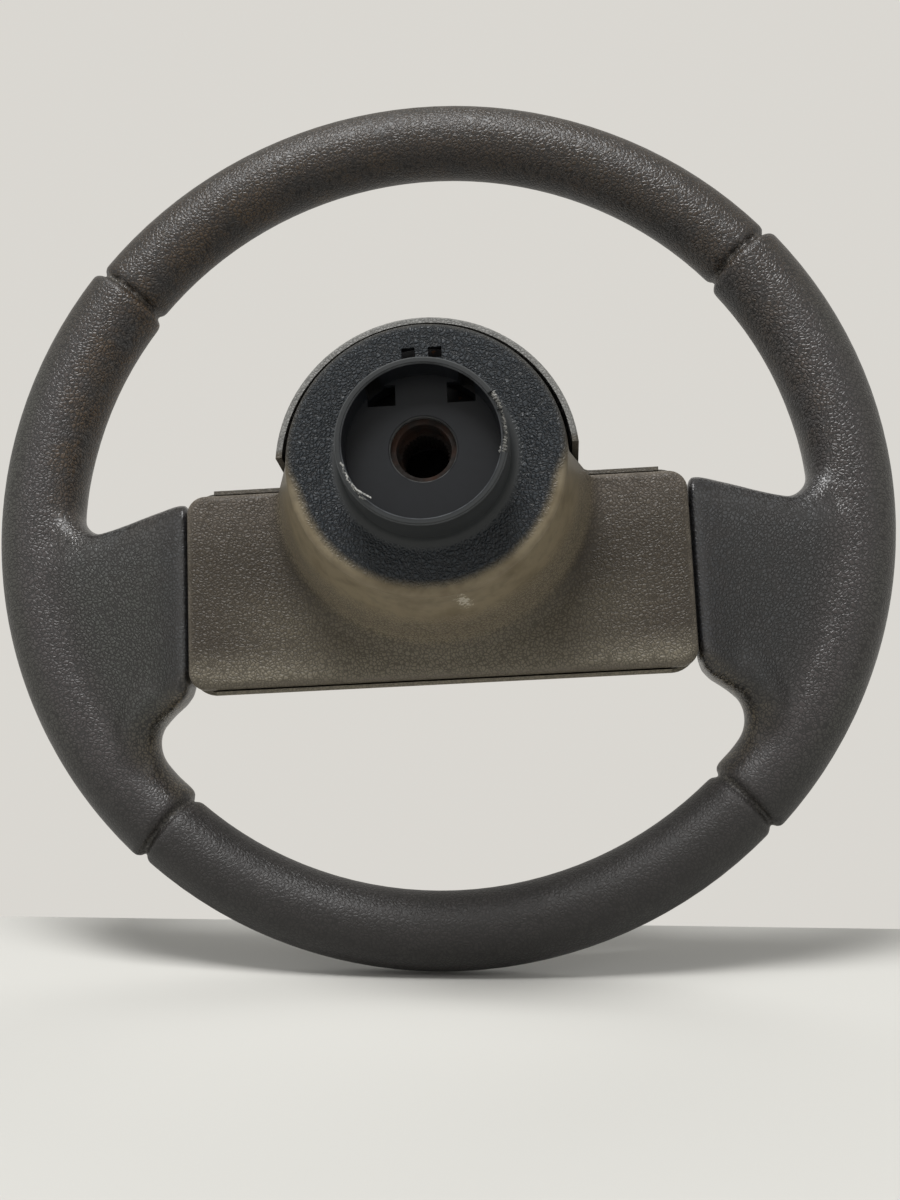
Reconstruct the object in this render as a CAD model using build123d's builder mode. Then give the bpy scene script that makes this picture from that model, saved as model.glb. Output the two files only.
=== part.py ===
"""Two-spoke car steering wheel, seen from its column side: every piece is its own solid.

Millimetres. The origin is on the spin axis, in the mouth of the hub's bore. +Y runs from the column
towards the driver, +Z is twelve o'clock and +X is to the right as the back of the wheel is looked at.
"""

import os
from math import atan2, cos, degrees, hypot, radians, sin, sqrt, tan

from build123d import *

# Rim: its depth in front of the hub, centre line, plain tube, thicker side lengths and finger grooves
RIM_Y = 105.0
RIM_R = 173.6
TUBE_R = 16.4
SIDE_SWELL = 1.6
GROOVE_UP = 39.2
GROOVE_LOW = -46.5
GROOVE_WIDTH = 2.0
GROOVE_ROUND = 3.0
GROOVE_FLANK = 0.35
GROOVE_LIFT = 0.08
HOOP_ROD_R = 5.0
SIDE_TUBE_R = TUBE_R + SIDE_SWELL
RIM_INNER_R = RIM_R - SIDE_TUBE_R

# Back cover: box, boss cone, disc, collar and the floor in the collar
WALL = 2.4
BOX_Y = 55.0
BOX_LIP = 5.0
BOX_HALF_X = 101.2
BOX_TOP_Z = 3.2
BOX_LOW_Z = -76.4
BOX_CORNER = 7.5
BOX_EDGE_ROUND = 3.5
DISC_Y = 8.0
DISC_R = 53.7
DISC_FLANGE = 6.5
DISC_FLANGE_DRAFT = 0.4
DISC_ROUND = 3.0
CONE_SPREAD = 9.8
CONE_FOOT_ROUND = 8.0
EAR_TOP_Z = 0.6
COLLAR_R = 32.0
COLLAR_WALL = 2.7
COLLAR_DRAFT = 0.4
COLLAR_FOOT_ROUND = 5.0
FLOOR_T = 2.6
FLOOR_DEPTH = 12.0
FLOOR_GAP = 0.4
EDGE_BREAK = 0.7
WINDOW_X = 14.95
WINDOW_LOW_Z = 17.4
WINDOW_WIDTH = 10.5
WINDOW_HEIGHT = 8.0
WINDOW_RECESS = 2.0
WINDOW_LIP = 1.0
SLOT_X = 5.1
SLOT_Z = 41.4
SLOT_WIDTH = 5.2
SLOT_HEIGHT = 4.4
BOX_LIP_Y = BOX_Y + BOX_LIP
BOX_MID_Z = (BOX_TOP_Z + BOX_LOW_Z) / 2
FLANGE_R = DISC_R + DISC_FLANGE_DRAFT
CONE_FOOT_R = DISC_R + CONE_SPREAD
FLOOR_Y = -FLOOR_T - FLOOR_GAP
COLLAR_Y = FLOOR_Y - FLOOR_DEPTH
COLLAR_BORE_R = COLLAR_R - COLLAR_WALL

# The break in the collar: start angle, angle swept and depth of each chip that is lost
BREAK_CHIPS = [(33.0, 13.0, 3.4), (20.0, 19.0, 6.2), (1.0, 13.0, 4.2)]
CHIP_LIP = 0.5
CHIP_LIP_SHARE = 0.25
CHIP_SLOPE = 1.5

# Steel: hub boss with its bore and serrations, and the pressed sheet of the hub plate and spokes
BORE_R = 10.4
BORE_LENGTH = 10.0
FLOOR_HOLE_MARGIN = 2.0
SERRATIONS = 36
SERRATION_ROOT_R = 9.3
SERRATION_DEPTH = 0.7
BOSS_WALL = 5.6
SPIGOT_STEP = 3.0
STAKE_HEIGHT = 2.5
STAKE_LIP = 1.6
SCREW_BOSS_LENGTH = 12.0
SHEET = 3.5
SHEET_BEND = 6.0
ARM_CLEARANCE = 0.25
ARM_BEND_IN = 6.0
ARM_HALF = 25.0
ARM_TIP_HALF = 16.0
ARM_TIP_IN = 6.6
ARM_TIP_DROP = 1.5
PLATE_MARGIN = 6.7
RISER_FOOT_IN = 17.7
RISER_HEAD_IN = 8.5
NECK_TOP_Z = 0.0
NECK_LOW_Z = -22.0
FLOOR_HOLE_R = BORE_R + FLOOR_HOLE_MARGIN
BOSS_R = BORE_R + BOSS_WALL
SPIGOT_R = BOSS_R - SPIGOT_STEP
SPIDER_Y = DISC_Y + SCREW_BOSS_LENGTH
SPIDER_FRONT_Y = SPIDER_Y + SHEET
LEDGE_BACK_Y = BOX_LIP_Y + ARM_CLEARANCE
LEDGE_Y = LEDGE_BACK_Y + SHEET / 2
LEDGE_FRONT_Y = LEDGE_BACK_Y + SHEET
ARM_Z = BOX_MID_Z
ARM_BEND_X = BOX_HALF_X - ARM_BEND_IN
ARM_TIP_X = RIM_R - ARM_TIP_IN
ARM_TIP_Y = RIM_Y - ARM_TIP_DROP
ARM_SLOPE = (ARM_TIP_Y - LEDGE_Y) / (ARM_TIP_X - ARM_BEND_X)
PLATE_R = DISC_R - PLATE_MARGIN
RISER_FOOT_X = DISC_R - RISER_FOOT_IN
RISER_HEAD_X = CONE_FOOT_R - RISER_HEAD_IN

# Horn pad: skin, carrier sheet and the travel of the push
TRAVEL = 3.0
SKIRT_STEP = 4.0
LIP_GAP = 0.7
PAD_WALL = 1.6
PAD_CORNER = 11.0
PAD_LOW_DRAFT = 9.0
FRONT_WALL = 3.0
FRONT_ROUND = 8.0
FRONT_SPACE = 14.5
DOME_R = 1200.0
HUMP_GAP = 1.7
HUMP_WALL = 2.4
HUMP_ROOT_ROUND = 6.0
HUMP_FOOT_GAP = 4.3
NOTCH_CLEARANCE = 1.0
NOTCH_IN = 5.0
NOTCH_SIDE = 2.0
CARRIER_T = 1.5
CARRIER_MARGIN = 6.0
CARRIER_CORNER = 5.0
CARRIER_HOLE_R = 24.0
SEAT_T = 1.0
SPRING_LENGTH = 15.25
SKIRT_Y = BOX_Y + SKIRT_STEP
PAD_TOP_Z = BOX_TOP_Z + LIP_GAP + PAD_WALL
PAD_LOW_Z = BOX_LOW_Z - LIP_GAP - PAD_WALL
HUMP_IN_R = FLANGE_R + HUMP_GAP
HUMP_R = HUMP_IN_R + HUMP_WALL
HUMP_SKIRT_Y = DISC_Y + DISC_FLANGE
HUMP_FOOT_Z = EAR_TOP_Z + HUMP_FOOT_GAP
CARRIER_Y = LEDGE_FRONT_Y + SEAT_T + SPRING_LENGTH
CARRIER_FRONT_Y = CARRIER_Y + CARRIER_T
FRONT_Y = CARRIER_FRONT_Y + FRONT_SPACE
RELIEF_Y = BOX_LIP_Y + TRAVEL + LIP_GAP
NOTCH_Y = LEDGE_Y + ARM_SLOPE * ARM_BEND_IN + SHEET + TRAVEL + NOTCH_CLEARANCE

# Thumb pads of the grip, from the rim to the ends of the box
END_GAP = 1.6
THUMB_BACK_STEP = 3.0
THUMB_THICK = 26.0
THUMB_OVER = 0.8
THUMB_UNDER = -1.2
THUMB_REACH = 1.45
THUMB_DEEP_INSET = 1.8
THUMB_FLATTEN = 0.45
THUMB_ROUND = 9.5
THUMB_END_ROUND = 4.5
UPPER_CROTCH = -1.5
UPPER_CROTCH_R = 14.0
CROTCH_TO_GROOVE = 11.1
LOWER_CROTCH_R = 13.0
WEB_SECTIONS = 4
WEB_NOSE = 10.0
WEB_REACH = 7.0
WEB_TAPER = 3.0
WEB_SUNK = 0.3
THUMB_END_X = BOX_HALF_X + END_GAP
THUMB_TOP_Z = BOX_TOP_Z + THUMB_OVER
THUMB_LOW_Z = BOX_LOW_Z - THUMB_UNDER
THUMB_MID_Y = BOX_Y + THUMB_BACK_STEP + THUMB_THICK / 2
THUMB_DEEP_HALF = SIDE_TUBE_R - THUMB_DEEP_INSET
LOWER_CROTCH = GROOVE_LOW + CROTCH_TO_GROOVE

# Screws, guide pins, springs and horn contacts
SCREW_CLEARANCE = 0.6
SCREW_TIP_GAP = 0.5
SCREW_BOSS_WALL = 2.5
HEAD_TAPER = 10.0
CROSS_WIDTH = 0.9
CROSS_DEPTH = 1.4
COVER_SCREW_R = 1.7
COVER_SCREW_IN = 13.7
COVER_SCREW_BITE = 7.5
COVER_HEAD_R = 3.8
COVER_HEAD_T = 2.6
CARRIER_SCREW_R = 1.5
CARRIER_SCREW_LENGTH = 8.0
CARRIER_HEAD_R = 3.2
CARRIER_HEAD_T = 2.2
CARRIER_SCREW_IN = 13.0
UPPER_SCREW_X = 20.0
UPPER_SCREW_IN = 20.0
PIN_R = 3.0
PIN_SHANK_STEP = 1.0
PIN_TAIL = 1.6
PIN_HEAD_LIP = 2.2
PIN_HEAD_T = 2.6
PIN_CHAMFER = 0.6
PIN_SLOT_WIDTH = 1.2
PIN_SLOT_DEPTH = 0.8
PIN_SPACING = 30.0
PIN_IN = 26.5
STOP_GAP = 0.1
BUSH_CLEARANCE = 0.3
BUSH_WALL = 1.6
BUSH_TAIL = 1.5
BUSH_FLANGE = 2.1
BUSH_FLANGE_T = 1.6
SPRING_TURNS = 5
SPRING_WIRE_R = 0.55
SPRING_SIDE_GAP = 0.75
SPRING_END_GAP = 0.1
SEAT_MARGIN = 0.65
CONTACT_PAST_PIN = 1.0
CONTACT_SCREW_OUT = 11.0
CONTACT_SCREW_R = 1.6
CONTACT_SCREW_TAIL = 1.4
CONTACT_HEAD_R = 3.0
CONTACT_HEAD_T = 1.8
INSULATOR_T = 1.5
INSULATOR_HALF_X = 6.0
INSULATOR_HALF_Z = 6.0
STRIP_T = 0.8
STRIP_HALF = 4.5
STRIP_REACH = 5.0
CONTACT_GAP = 0.1
RIVET_R = 1.5
RIVET_HEAD_R = 2.6
RIVET_HEAD_T = 0.9
OVERCUT = 2.0
ALONG_Y = 0.9

PIN_X = BOX_HALF_X - PIN_IN
PIN_SHANK_R = PIN_R - PIN_SHANK_STEP
PIN_HEAD_R = PIN_R + PIN_HEAD_LIP
PIN_TAIL_Y = LEDGE_BACK_Y - PIN_TAIL
BUSH_BORE_R = PIN_R + BUSH_CLEARANCE
BUSH_R = BUSH_BORE_R + BUSH_WALL
BUSH_FLANGE_R = BUSH_R + BUSH_FLANGE
PIN_HEAD_Y = CARRIER_FRONT_Y + BUSH_FLANGE_T + STOP_GAP
SPRING_R = BUSH_R + SPRING_SIDE_GAP + SPRING_WIRE_R
SEAT_R = SPRING_R + SPRING_WIRE_R + SEAT_MARGIN
CONTACT_X = PIN_X + CONTACT_PAST_PIN
CONTACT_SCREW_X = CONTACT_X + CONTACT_SCREW_OUT
STRIP_BACK_Y = LEDGE_FRONT_Y + INSULATOR_T
STRIP_FRONT_Y = CARRIER_Y - RIVET_HEAD_T - TRAVEL - CONTACT_GAP
COVER_SCREW_AT = (DISC_R - COVER_SCREW_IN) / sqrt(2)
COVER_SCREW_TIP_Y = SPIDER_Y - COVER_SCREW_BITE
COVER_SCREWS = [(sx * COVER_SCREW_AT, sz * COVER_SCREW_AT) for sx in (1, -1) for sz in (1, -1)]
PIN_PLACES = [(sx * PIN_X, ARM_Z + sz * PIN_SPACING / 2) for sx in (1, -1) for sz in (1, -1)]
CARRIER_SCREW_X = BOX_HALF_X - CARRIER_SCREW_IN
CARRIER_SCREWS = [(sx * UPPER_SCREW_X, HUMP_R - UPPER_SCREW_IN) for sx in (1, -1)]
CARRIER_SCREWS += [(sx * CARRIER_SCREW_X, BOX_TOP_Z - CARRIER_SCREW_IN) for sx in (1, -1)]
CARRIER_SCREWS += [(sx * CARRIER_SCREW_X, BOX_LOW_Z + CARRIER_SCREW_IN) for sx in (1, -1)]
CONTACT_PLACES = [(CONTACT_X, ARM_Z), (-CONTACT_X, ARM_Z)]
CONTACT_SCREWS = [(CONTACT_SCREW_X, ARM_Z), (-CONTACT_SCREW_X, ARM_Z)]

os.makedirs("parts", exist_ok=True)


def across(y):
    """The sketch plane square to the spin axis at y: its x is +X, its y is +Z and it looks to -Y."""
    return Plane.XZ.offset(-y)


def radial(angle, origin=(0, 0, 0)):
    """The upright sketch plane at an angle above +X, through the spin axis or a point: its y is +Y."""
    a = radians(angle)
    return Plane(origin=origin, x_dir=(cos(a), 0, sin(a)), z_dir=(-sin(a), 0, cos(a)))


def polar(radius, angle):
    """A point of a plan sketch, by its radius and its angle above +X."""
    return (radius * cos(radians(angle)), radius * sin(radians(angle)))


def edge_point(corner, edge_z, out):
    """A plan point on a thumb pad's straight edge towards a corner, by its distance out from the pad's end."""
    return (THUMB_END_X + out, edge_z + (corner[1] - edge_z) * out / (corner[0] - THUMB_END_X))


def pad_middle(share):
    """The y of a thumb pad's middle at a share of its run: the pad flattens towards the rim."""
    return THUMB_MID_Y + (RIM_Y - THUMB_MID_Y) * share * (1 + THUMB_FLATTEN * (1 - share))


# The steel hoop inside the rim is one bent and welded rod
with BuildPart() as rim_hoop:
    with BuildSketch(Plane.XY):
        with Locations((RIM_R, RIM_Y)):
            Circle(HOOP_ROD_R)
    revolve(axis=Axis.Y)
rim_hoop.part.label = "rim_hoop"
export_step(rim_hoop.part, "parts/rim_hoop.step")

# The spokes and the hub plate are one pressed sheet: a bent strip trimmed to its plan
with BuildPart() as spoke_spider:
    with BuildSketch(Plane.XY):
        with BuildLine():
            FilletPolyline(
                (-ARM_TIP_X, ARM_TIP_Y),
                (-ARM_BEND_X, LEDGE_Y),
                (-RISER_HEAD_X, LEDGE_Y),
                (-RISER_FOOT_X, SPIDER_Y + SHEET / 2),
                (RISER_FOOT_X, SPIDER_Y + SHEET / 2),
                (RISER_HEAD_X, LEDGE_Y),
                (ARM_BEND_X, LEDGE_Y),
                (ARM_TIP_X, ARM_TIP_Y),
                radius=SHEET_BEND,
            )
            offset(amount=SHEET / 2, side=Side.BOTH, kind=Kind.INTERSECTION)
        make_face()
    extrude(amount=RIM_R, both=True)
    with BuildSketch(across(0)):
        Circle(PLATE_R)
        for side in (1, -1):
            with BuildLine():
                Polyline(
                    (side * SPIGOT_R, ARM_Z + PLATE_R),
                    (side * RISER_FOOT_X, NECK_TOP_Z + SHEET_BEND),
                    (side * RISER_HEAD_X, NECK_TOP_Z),
                    (side * CONE_FOOT_R, ARM_Z + ARM_HALF),
                    (side * ARM_BEND_X, ARM_Z + ARM_HALF),
                    (side * RIM_R, ARM_Z + ARM_TIP_HALF),
                    (side * RIM_R, ARM_Z - ARM_TIP_HALF),
                    (side * ARM_BEND_X, ARM_Z - ARM_HALF),
                    (side * CONE_FOOT_R, ARM_Z - ARM_HALF),
                    (side * RISER_HEAD_X, NECK_LOW_Z),
                    (side * RISER_FOOT_X, NECK_LOW_Z),
                    (side * SPIGOT_R, ARM_Z),
                    close=True,
                )
            make_face()
    extrude(amount=-RIM_Y, mode=Mode.INTERSECT)
    with BuildSketch(across(DISC_Y)):
        Circle(SPIGOT_R)
        with Locations(*COVER_SCREWS):
            Circle(COVER_SCREW_R + SCREW_CLEARANCE)
    extrude(amount=DISC_Y - SPIDER_FRONT_Y - OVERCUT, mode=Mode.SUBTRACT)
    with BuildSketch(across(LEDGE_BACK_Y - OVERCUT)):
        with Locations(*PIN_PLACES):
            Circle(PIN_SHANK_R)
        with Locations(*CONTACT_SCREWS):
            Circle(CONTACT_SCREW_R)
    extrude(amount=-SHEET - 2 * OVERCUT, mode=Mode.SUBTRACT)
    add(rim_hoop.part, mode=Mode.SUBTRACT)
spoke_spider.part.label = "spoke_spider"
export_step(spoke_spider.part, "parts/spoke_spider.step")

# The hub boss is turned steel: plain bore, serrated bore, and a spigot staked over the sheet
with BuildPart() as hub_boss:
    with BuildSketch(Plane.XY):
        with BuildLine():
            Polyline(
                (BORE_R, 0),
                (BOSS_R - EDGE_BREAK, 0),
                (BOSS_R, EDGE_BREAK),
                (BOSS_R, SPIDER_Y),
                (SPIGOT_R, SPIDER_Y),
                (SPIGOT_R, SPIDER_FRONT_Y),
                (SPIGOT_R + STAKE_LIP, SPIDER_FRONT_Y),
                (SPIGOT_R + STAKE_LIP / 2, SPIDER_FRONT_Y + STAKE_HEIGHT),
                (SERRATION_ROOT_R - 2 * SERRATION_DEPTH, SPIDER_FRONT_Y + STAKE_HEIGHT),
                (SERRATION_ROOT_R - 2 * SERRATION_DEPTH, BORE_LENGTH),
                (BORE_R, BORE_LENGTH),
                close=True,
            )
        make_face()
    revolve(axis=Axis.Y)
    with BuildSketch(across(BORE_LENGTH - EDGE_BREAK)):
        with BuildLine():
            step = 360.0 / SERRATIONS
            teeth = []
            for k in range(SERRATIONS):
                teeth.append(polar(SERRATION_ROOT_R, k * step))
                teeth.append(polar(SERRATION_ROOT_R - SERRATION_DEPTH, (k + 0.5) * step))
            Polyline(*teeth, close=True)
        make_face()
    extrude(amount=BORE_LENGTH - SPIDER_FRONT_Y - STAKE_HEIGHT - OVERCUT, mode=Mode.SUBTRACT)
hub_boss.part.label = "hub_boss"
export_step(hub_boss.part, "parts/hub_boss.step")

# A thumb pad: a slab that turns and tilts from the end of the box into the rim, its end edge eased
upper_corner = polar(RIM_INNER_R, UPPER_CROTCH)
lower_corner = polar(RIM_INNER_R, LOWER_CROTCH)
upper_run = THUMB_REACH * (upper_corner[0] - THUMB_END_X)
lower_run = THUMB_REACH * (lower_corner[0] - THUMB_END_X)
ease = THUMB_END_ROUND * (1 - cos(radians(45)))
full = (THUMB_END_ROUND, THUMB_END_ROUND, 0)
eased_end = [(0, 0, THUMB_END_ROUND), (ease, ease, ease), full]
slab = [full, (upper_run / 2, lower_run / 2, 0), (upper_run, lower_run, 0)]
with BuildPart() as thumb_pad:
    for stations in (eased_end, slab):
        for upper_out, lower_out, inset in stations:
            share = (upper_out + lower_out) / (upper_run + lower_run)
            top_x, top_z = edge_point(upper_corner, THUMB_TOP_Z, upper_out)
            low_x, low_z = edge_point(lower_corner, THUMB_LOW_Z, lower_out)
            half = THUMB_THICK / 2 + (THUMB_DEEP_HALF - THUMB_THICK / 2) * share - inset
            middle = ((top_x + low_x) / 2, pad_middle(share), (top_z + low_z) / 2)
            with BuildSketch(radial(degrees(atan2(top_z - low_z, top_x - low_x)), middle)):
                RectangleRounded(hypot(top_x - low_x, top_z - low_z) - 2 * inset, 2 * half, THUMB_ROUND - inset)
        loft(ruled=stations is eased_end)

# The webs that round the upper and the lower crotch between a thumb pad and the rim
crotch_webs = []
for corner, edge_z, side, radius in (
    (upper_corner, THUMB_TOP_Z, 1, UPPER_CROTCH_R),
    (lower_corner, THUMB_LOW_Z, -1, LOWER_CROTCH_R),
):
    edge_length = hypot(corner[0] - THUMB_END_X, corner[1] - edge_z)
    along = ((corner[0] - THUMB_END_X) / edge_length, (corner[1] - edge_z) / edge_length)
    outward = (-side * along[1], side * along[0])
    # the crotch's centre is one radius off the pad's edge and one radius inside the rim
    start = (THUMB_END_X + radius * outward[0], edge_z + radius * outward[1])
    lead = start[0] * along[0] + start[1] * along[1]
    run = sqrt(lead**2 - hypot(*start) ** 2 + (RIM_INNER_R - radius) ** 2) - lead
    centre = (start[0] + run * along[0], start[1] + run * along[1])
    first = degrees(atan2(-outward[1], -outward[0]))
    last = degrees(atan2(centre[1], centre[0]))
    first_y = pad_middle(run / edge_length / THUMB_REACH)
    nose = radius + WEB_SUNK + WEB_NOSE
    with BuildPart() as crotch_web:
        for k in range(WEB_SECTIONS):
            share = k / (WEB_SECTIONS - 1)
            middle = (centre[0], first_y + (RIM_Y - first_y) * share, centre[1])
            with BuildSketch(radial(first + (last - first) * share, middle)):
                with BuildLine():
                    EllipticalCenterArc((nose, 0), WEB_NOSE, THUMB_THICK / 2, start_angle=90, arc_size=180)
                    Polyline(
                        (nose, -THUMB_THICK / 2),
                        (nose + WEB_REACH, WEB_TAPER - THUMB_THICK / 2),
                        (nose + WEB_REACH, THUMB_THICK / 2 - WEB_TAPER),
                        (nose, THUMB_THICK / 2),
                    )
                make_face()
        loft()
        split(bisect_by=Plane.YZ.offset(THUMB_END_X + WEB_SUNK), keep=Keep.TOP)
    crotch_webs.append(crotch_web.part)

# The thicker side length of the rim, from groove to groove
with BuildPart() as side_tube:
    with BuildSketch(radial(GROOVE_UP)):
        with Locations((RIM_R, RIM_Y)):
            Circle(SIDE_TUBE_R)
    revolve(axis=Axis.Y, revolution_arc=GROOVE_UP - GROOVE_LOW)

# The grip is foam moulded round the hoop and the spoke ends: rim, two thumb pads and four grooves
groove_half = GROOVE_WIDTH / 2
groove_mouth = groove_half + GROOVE_ROUND
groove_floor = TUBE_R - GROOVE_ROUND - GROOVE_FLANK
thin_lip = TUBE_R + GROOVE_LIFT
thick_lip = SIDE_TUBE_R + GROOVE_LIFT
with BuildPart() as rim_grip:
    with BuildSketch(Plane.XY):
        with Locations((RIM_R, RIM_Y)):
            Circle(TUBE_R)
    revolve(axis=Axis.Y)
    for half in (side_tube.part, thumb_pad.part, *crotch_webs):
        add(half)
        mirror(half, about=Plane.YZ)
    for angle in (GROOVE_UP, GROOVE_LOW, 180.0 - GROOVE_UP, 180.0 - GROOVE_LOW):
        a = radians(angle)
        at = (RIM_R * cos(a), RIM_Y, RIM_R * sin(a))
        # the thicker side length lies after an upper left or lower right groove, before the others
        thick = 1 if angle in (GROOVE_LOW, 180.0 - GROOVE_UP) else -1
        along = Plane(origin=at, x_dir=(-thick * sin(a), 0, thick * cos(a)), z_dir=(0, thick, 0))
        with BuildSketch(along):
            with BuildLine():
                Polyline(
                    (-groove_mouth, thin_lip),
                    (-groove_mouth, SIDE_TUBE_R + OVERCUT),
                    (groove_mouth, SIDE_TUBE_R + OVERCUT),
                    (groove_mouth, thick_lip),
                )
                RadiusArc((groove_mouth, thick_lip), (groove_half, thick_lip - GROOVE_ROUND), -GROOVE_ROUND)
                Polyline(
                    (groove_half, thick_lip - GROOVE_ROUND),
                    (groove_half, groove_floor),
                    (-groove_half, groove_floor),
                    (-groove_half, thin_lip - GROOVE_ROUND),
                )
                RadiusArc((-groove_half, thin_lip - GROOVE_ROUND), (-groove_mouth, thin_lip), -GROOVE_ROUND)
            make_face()
        revolve(axis=Axis(at, (-sin(a), 0, cos(a))), mode=Mode.SUBTRACT)
    add(rim_hoop.part, mode=Mode.SUBTRACT)
    add(spoke_spider.part, mode=Mode.SUBTRACT)
rim_grip.part.label = "rim_grip"
export_step(rim_grip.part, "parts/rim_grip.step")

# The boss cone of the back cover, up to the ears on both sides of the pad's hump
shoulder = ((DISC_R - DISC_ROUND, DISC_Y), (DISC_R, DISC_Y + DISC_ROUND))
with BuildPart() as boss_cone:
    with BuildSketch(Plane.XY) as cone_section:
        with BuildLine():
            Polyline(
                shoulder[1],
                (CONE_FOOT_R, BOX_Y),
                (CONE_FOOT_R + CONE_FOOT_ROUND, BOX_Y),
                (CONE_FOOT_R + CONE_FOOT_ROUND, BOX_Y + WALL),
                (CONE_FOOT_R - WALL / 2, BOX_Y + WALL),
                (DISC_R - WALL, DISC_Y + WALL),
                shoulder[0],
            )
            RadiusArc(*shoulder, -DISC_ROUND)
        make_face()
        fillet(cone_section.vertices().sort_by_distance((CONE_FOOT_R, BOX_Y, 0))[0], CONE_FOOT_ROUND)
    revolve(axis=Axis.Y)
    split(bisect_by=Plane.XY.offset(EAR_TOP_Z), keep=Keep.BOTTOM)

# The back cover is one moulding: box, boss cone, disc, broken collar, floor with two windows
with BuildPart() as rear_cover:
    with BuildSketch(across(BOX_Y)):
        with Locations((0, BOX_MID_Z)):
            RectangleRounded(2 * BOX_HALF_X, BOX_TOP_Z - BOX_LOW_Z, BOX_CORNER)
    extrude(amount=-BOX_LIP)
    fillet(rear_cover.faces().sort_by(Axis.Y)[0].outer_wire().edges(), BOX_EDGE_ROUND)
    with BuildSketch(across(BOX_Y + WALL)):
        with Locations((0, BOX_MID_Z)):
            RectangleRounded(2 * (BOX_HALF_X - WALL), BOX_TOP_Z - BOX_LOW_Z - 2 * WALL, BOX_CORNER - WALL)
    extrude(amount=-BOX_LIP, mode=Mode.SUBTRACT)
    add(boss_cone.part)
    with BuildSketch(Plane.XY):
        with BuildLine():
            Polyline(
                (0, DISC_Y + WALL),
                (DISC_R - WALL, DISC_Y + WALL),
                (CONE_FOOT_R - WALL / 2, BOX_Y + WALL),
                (CONE_FOOT_R - WALL / 2, BOX_LIP_Y),
                (0, BOX_LIP_Y),
                close=True,
            )
        make_face()
    revolve(axis=Axis.Y, mode=Mode.SUBTRACT)
    with BuildSketch(Plane.XY) as collar_section:
        with BuildLine():
            RadiusArc(*shoulder, -DISC_ROUND)
            Polyline(
                shoulder[1],
                (FLANGE_R, DISC_Y + DISC_FLANGE),
                (FLANGE_R - WALL, DISC_Y + DISC_FLANGE),
                (FLANGE_R - WALL, DISC_Y + WALL),
                (COLLAR_BORE_R, DISC_Y + WALL),
                (COLLAR_BORE_R, FLOOR_Y + FLOOR_T),
                (FLOOR_HOLE_R, FLOOR_Y + FLOOR_T),
                (FLOOR_HOLE_R, FLOOR_Y + EDGE_BREAK),
                (FLOOR_HOLE_R + EDGE_BREAK, FLOOR_Y),
                (COLLAR_BORE_R - COLLAR_DRAFT, FLOOR_Y),
                (COLLAR_BORE_R, COLLAR_Y + EDGE_BREAK),
                (COLLAR_BORE_R + EDGE_BREAK, COLLAR_Y),
                (COLLAR_R - EDGE_BREAK, COLLAR_Y),
                (COLLAR_R, COLLAR_Y + EDGE_BREAK),
                (COLLAR_R + COLLAR_DRAFT, DISC_Y),
                shoulder[0],
            )
        make_face()
        collar_foot = (COLLAR_R + COLLAR_DRAFT, DISC_Y, 0)
        fillet(collar_section.vertices().sort_by_distance(collar_foot)[0], COLLAR_FOOT_ROUND)
    revolve(axis=Axis.Y)
    with BuildSketch(across(DISC_Y + WALL / 2)):
        with Locations(*COVER_SCREWS):
            Circle(COVER_SCREW_R + SCREW_BOSS_WALL)
    extrude(amount=DISC_Y + WALL / 2 - SPIDER_Y)
    with BuildSketch(across(COVER_SCREW_TIP_Y - SCREW_TIP_GAP)):
        with Locations(*COVER_SCREWS):
            Circle(COVER_SCREW_R)
    extrude(amount=COVER_SCREW_TIP_Y - SCREW_TIP_GAP - SPIDER_Y, mode=Mode.SUBTRACT)
    with BuildSketch(across(COLLAR_Y + WINDOW_LIP)):
        with Locations((-WINDOW_X, WINDOW_LOW_Z), (WINDOW_X, WINDOW_LOW_Z)):
            Rectangle(WINDOW_WIDTH, WINDOW_HEIGHT, align=(Align.CENTER, Align.MIN))
        Circle(COLLAR_BORE_R + WINDOW_RECESS, mode=Mode.INTERSECT)
    extrude(amount=WINDOW_LIP - FLOOR_DEPTH - FLOOR_T - OVERCUT, mode=Mode.SUBTRACT)
    with BuildSketch(across(DISC_Y - OVERCUT)):
        with Locations((-SLOT_X, SLOT_Z), (SLOT_X, SLOT_Z)):
            Rectangle(SLOT_WIDTH, SLOT_HEIGHT)
    extrude(amount=-WALL - 2 * OVERCUT, mode=Mode.SUBTRACT)
    # the break in the collar: chips that slope down to the outside
    for start, arc, depth in BREAK_CHIPS:
        with BuildSketch(radial(start)):
            with BuildLine():
                Polyline(
                    (COLLAR_BORE_R + CHIP_LIP, COLLAR_Y - OVERCUT),
                    (COLLAR_R + OVERCUT, COLLAR_Y - OVERCUT),
                    (COLLAR_R + OVERCUT, COLLAR_Y + depth + CHIP_SLOPE),
                    (COLLAR_BORE_R + CHIP_LIP, COLLAR_Y + depth * CHIP_LIP_SHARE),
                    close=True,
                )
            make_face()
        revolve(axis=Axis.Y, revolution_arc=arc, mode=Mode.SUBTRACT)
rear_cover.part.label = "rear_cover"
export_step(rear_cover.part, "parts/rear_cover.step")

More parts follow.
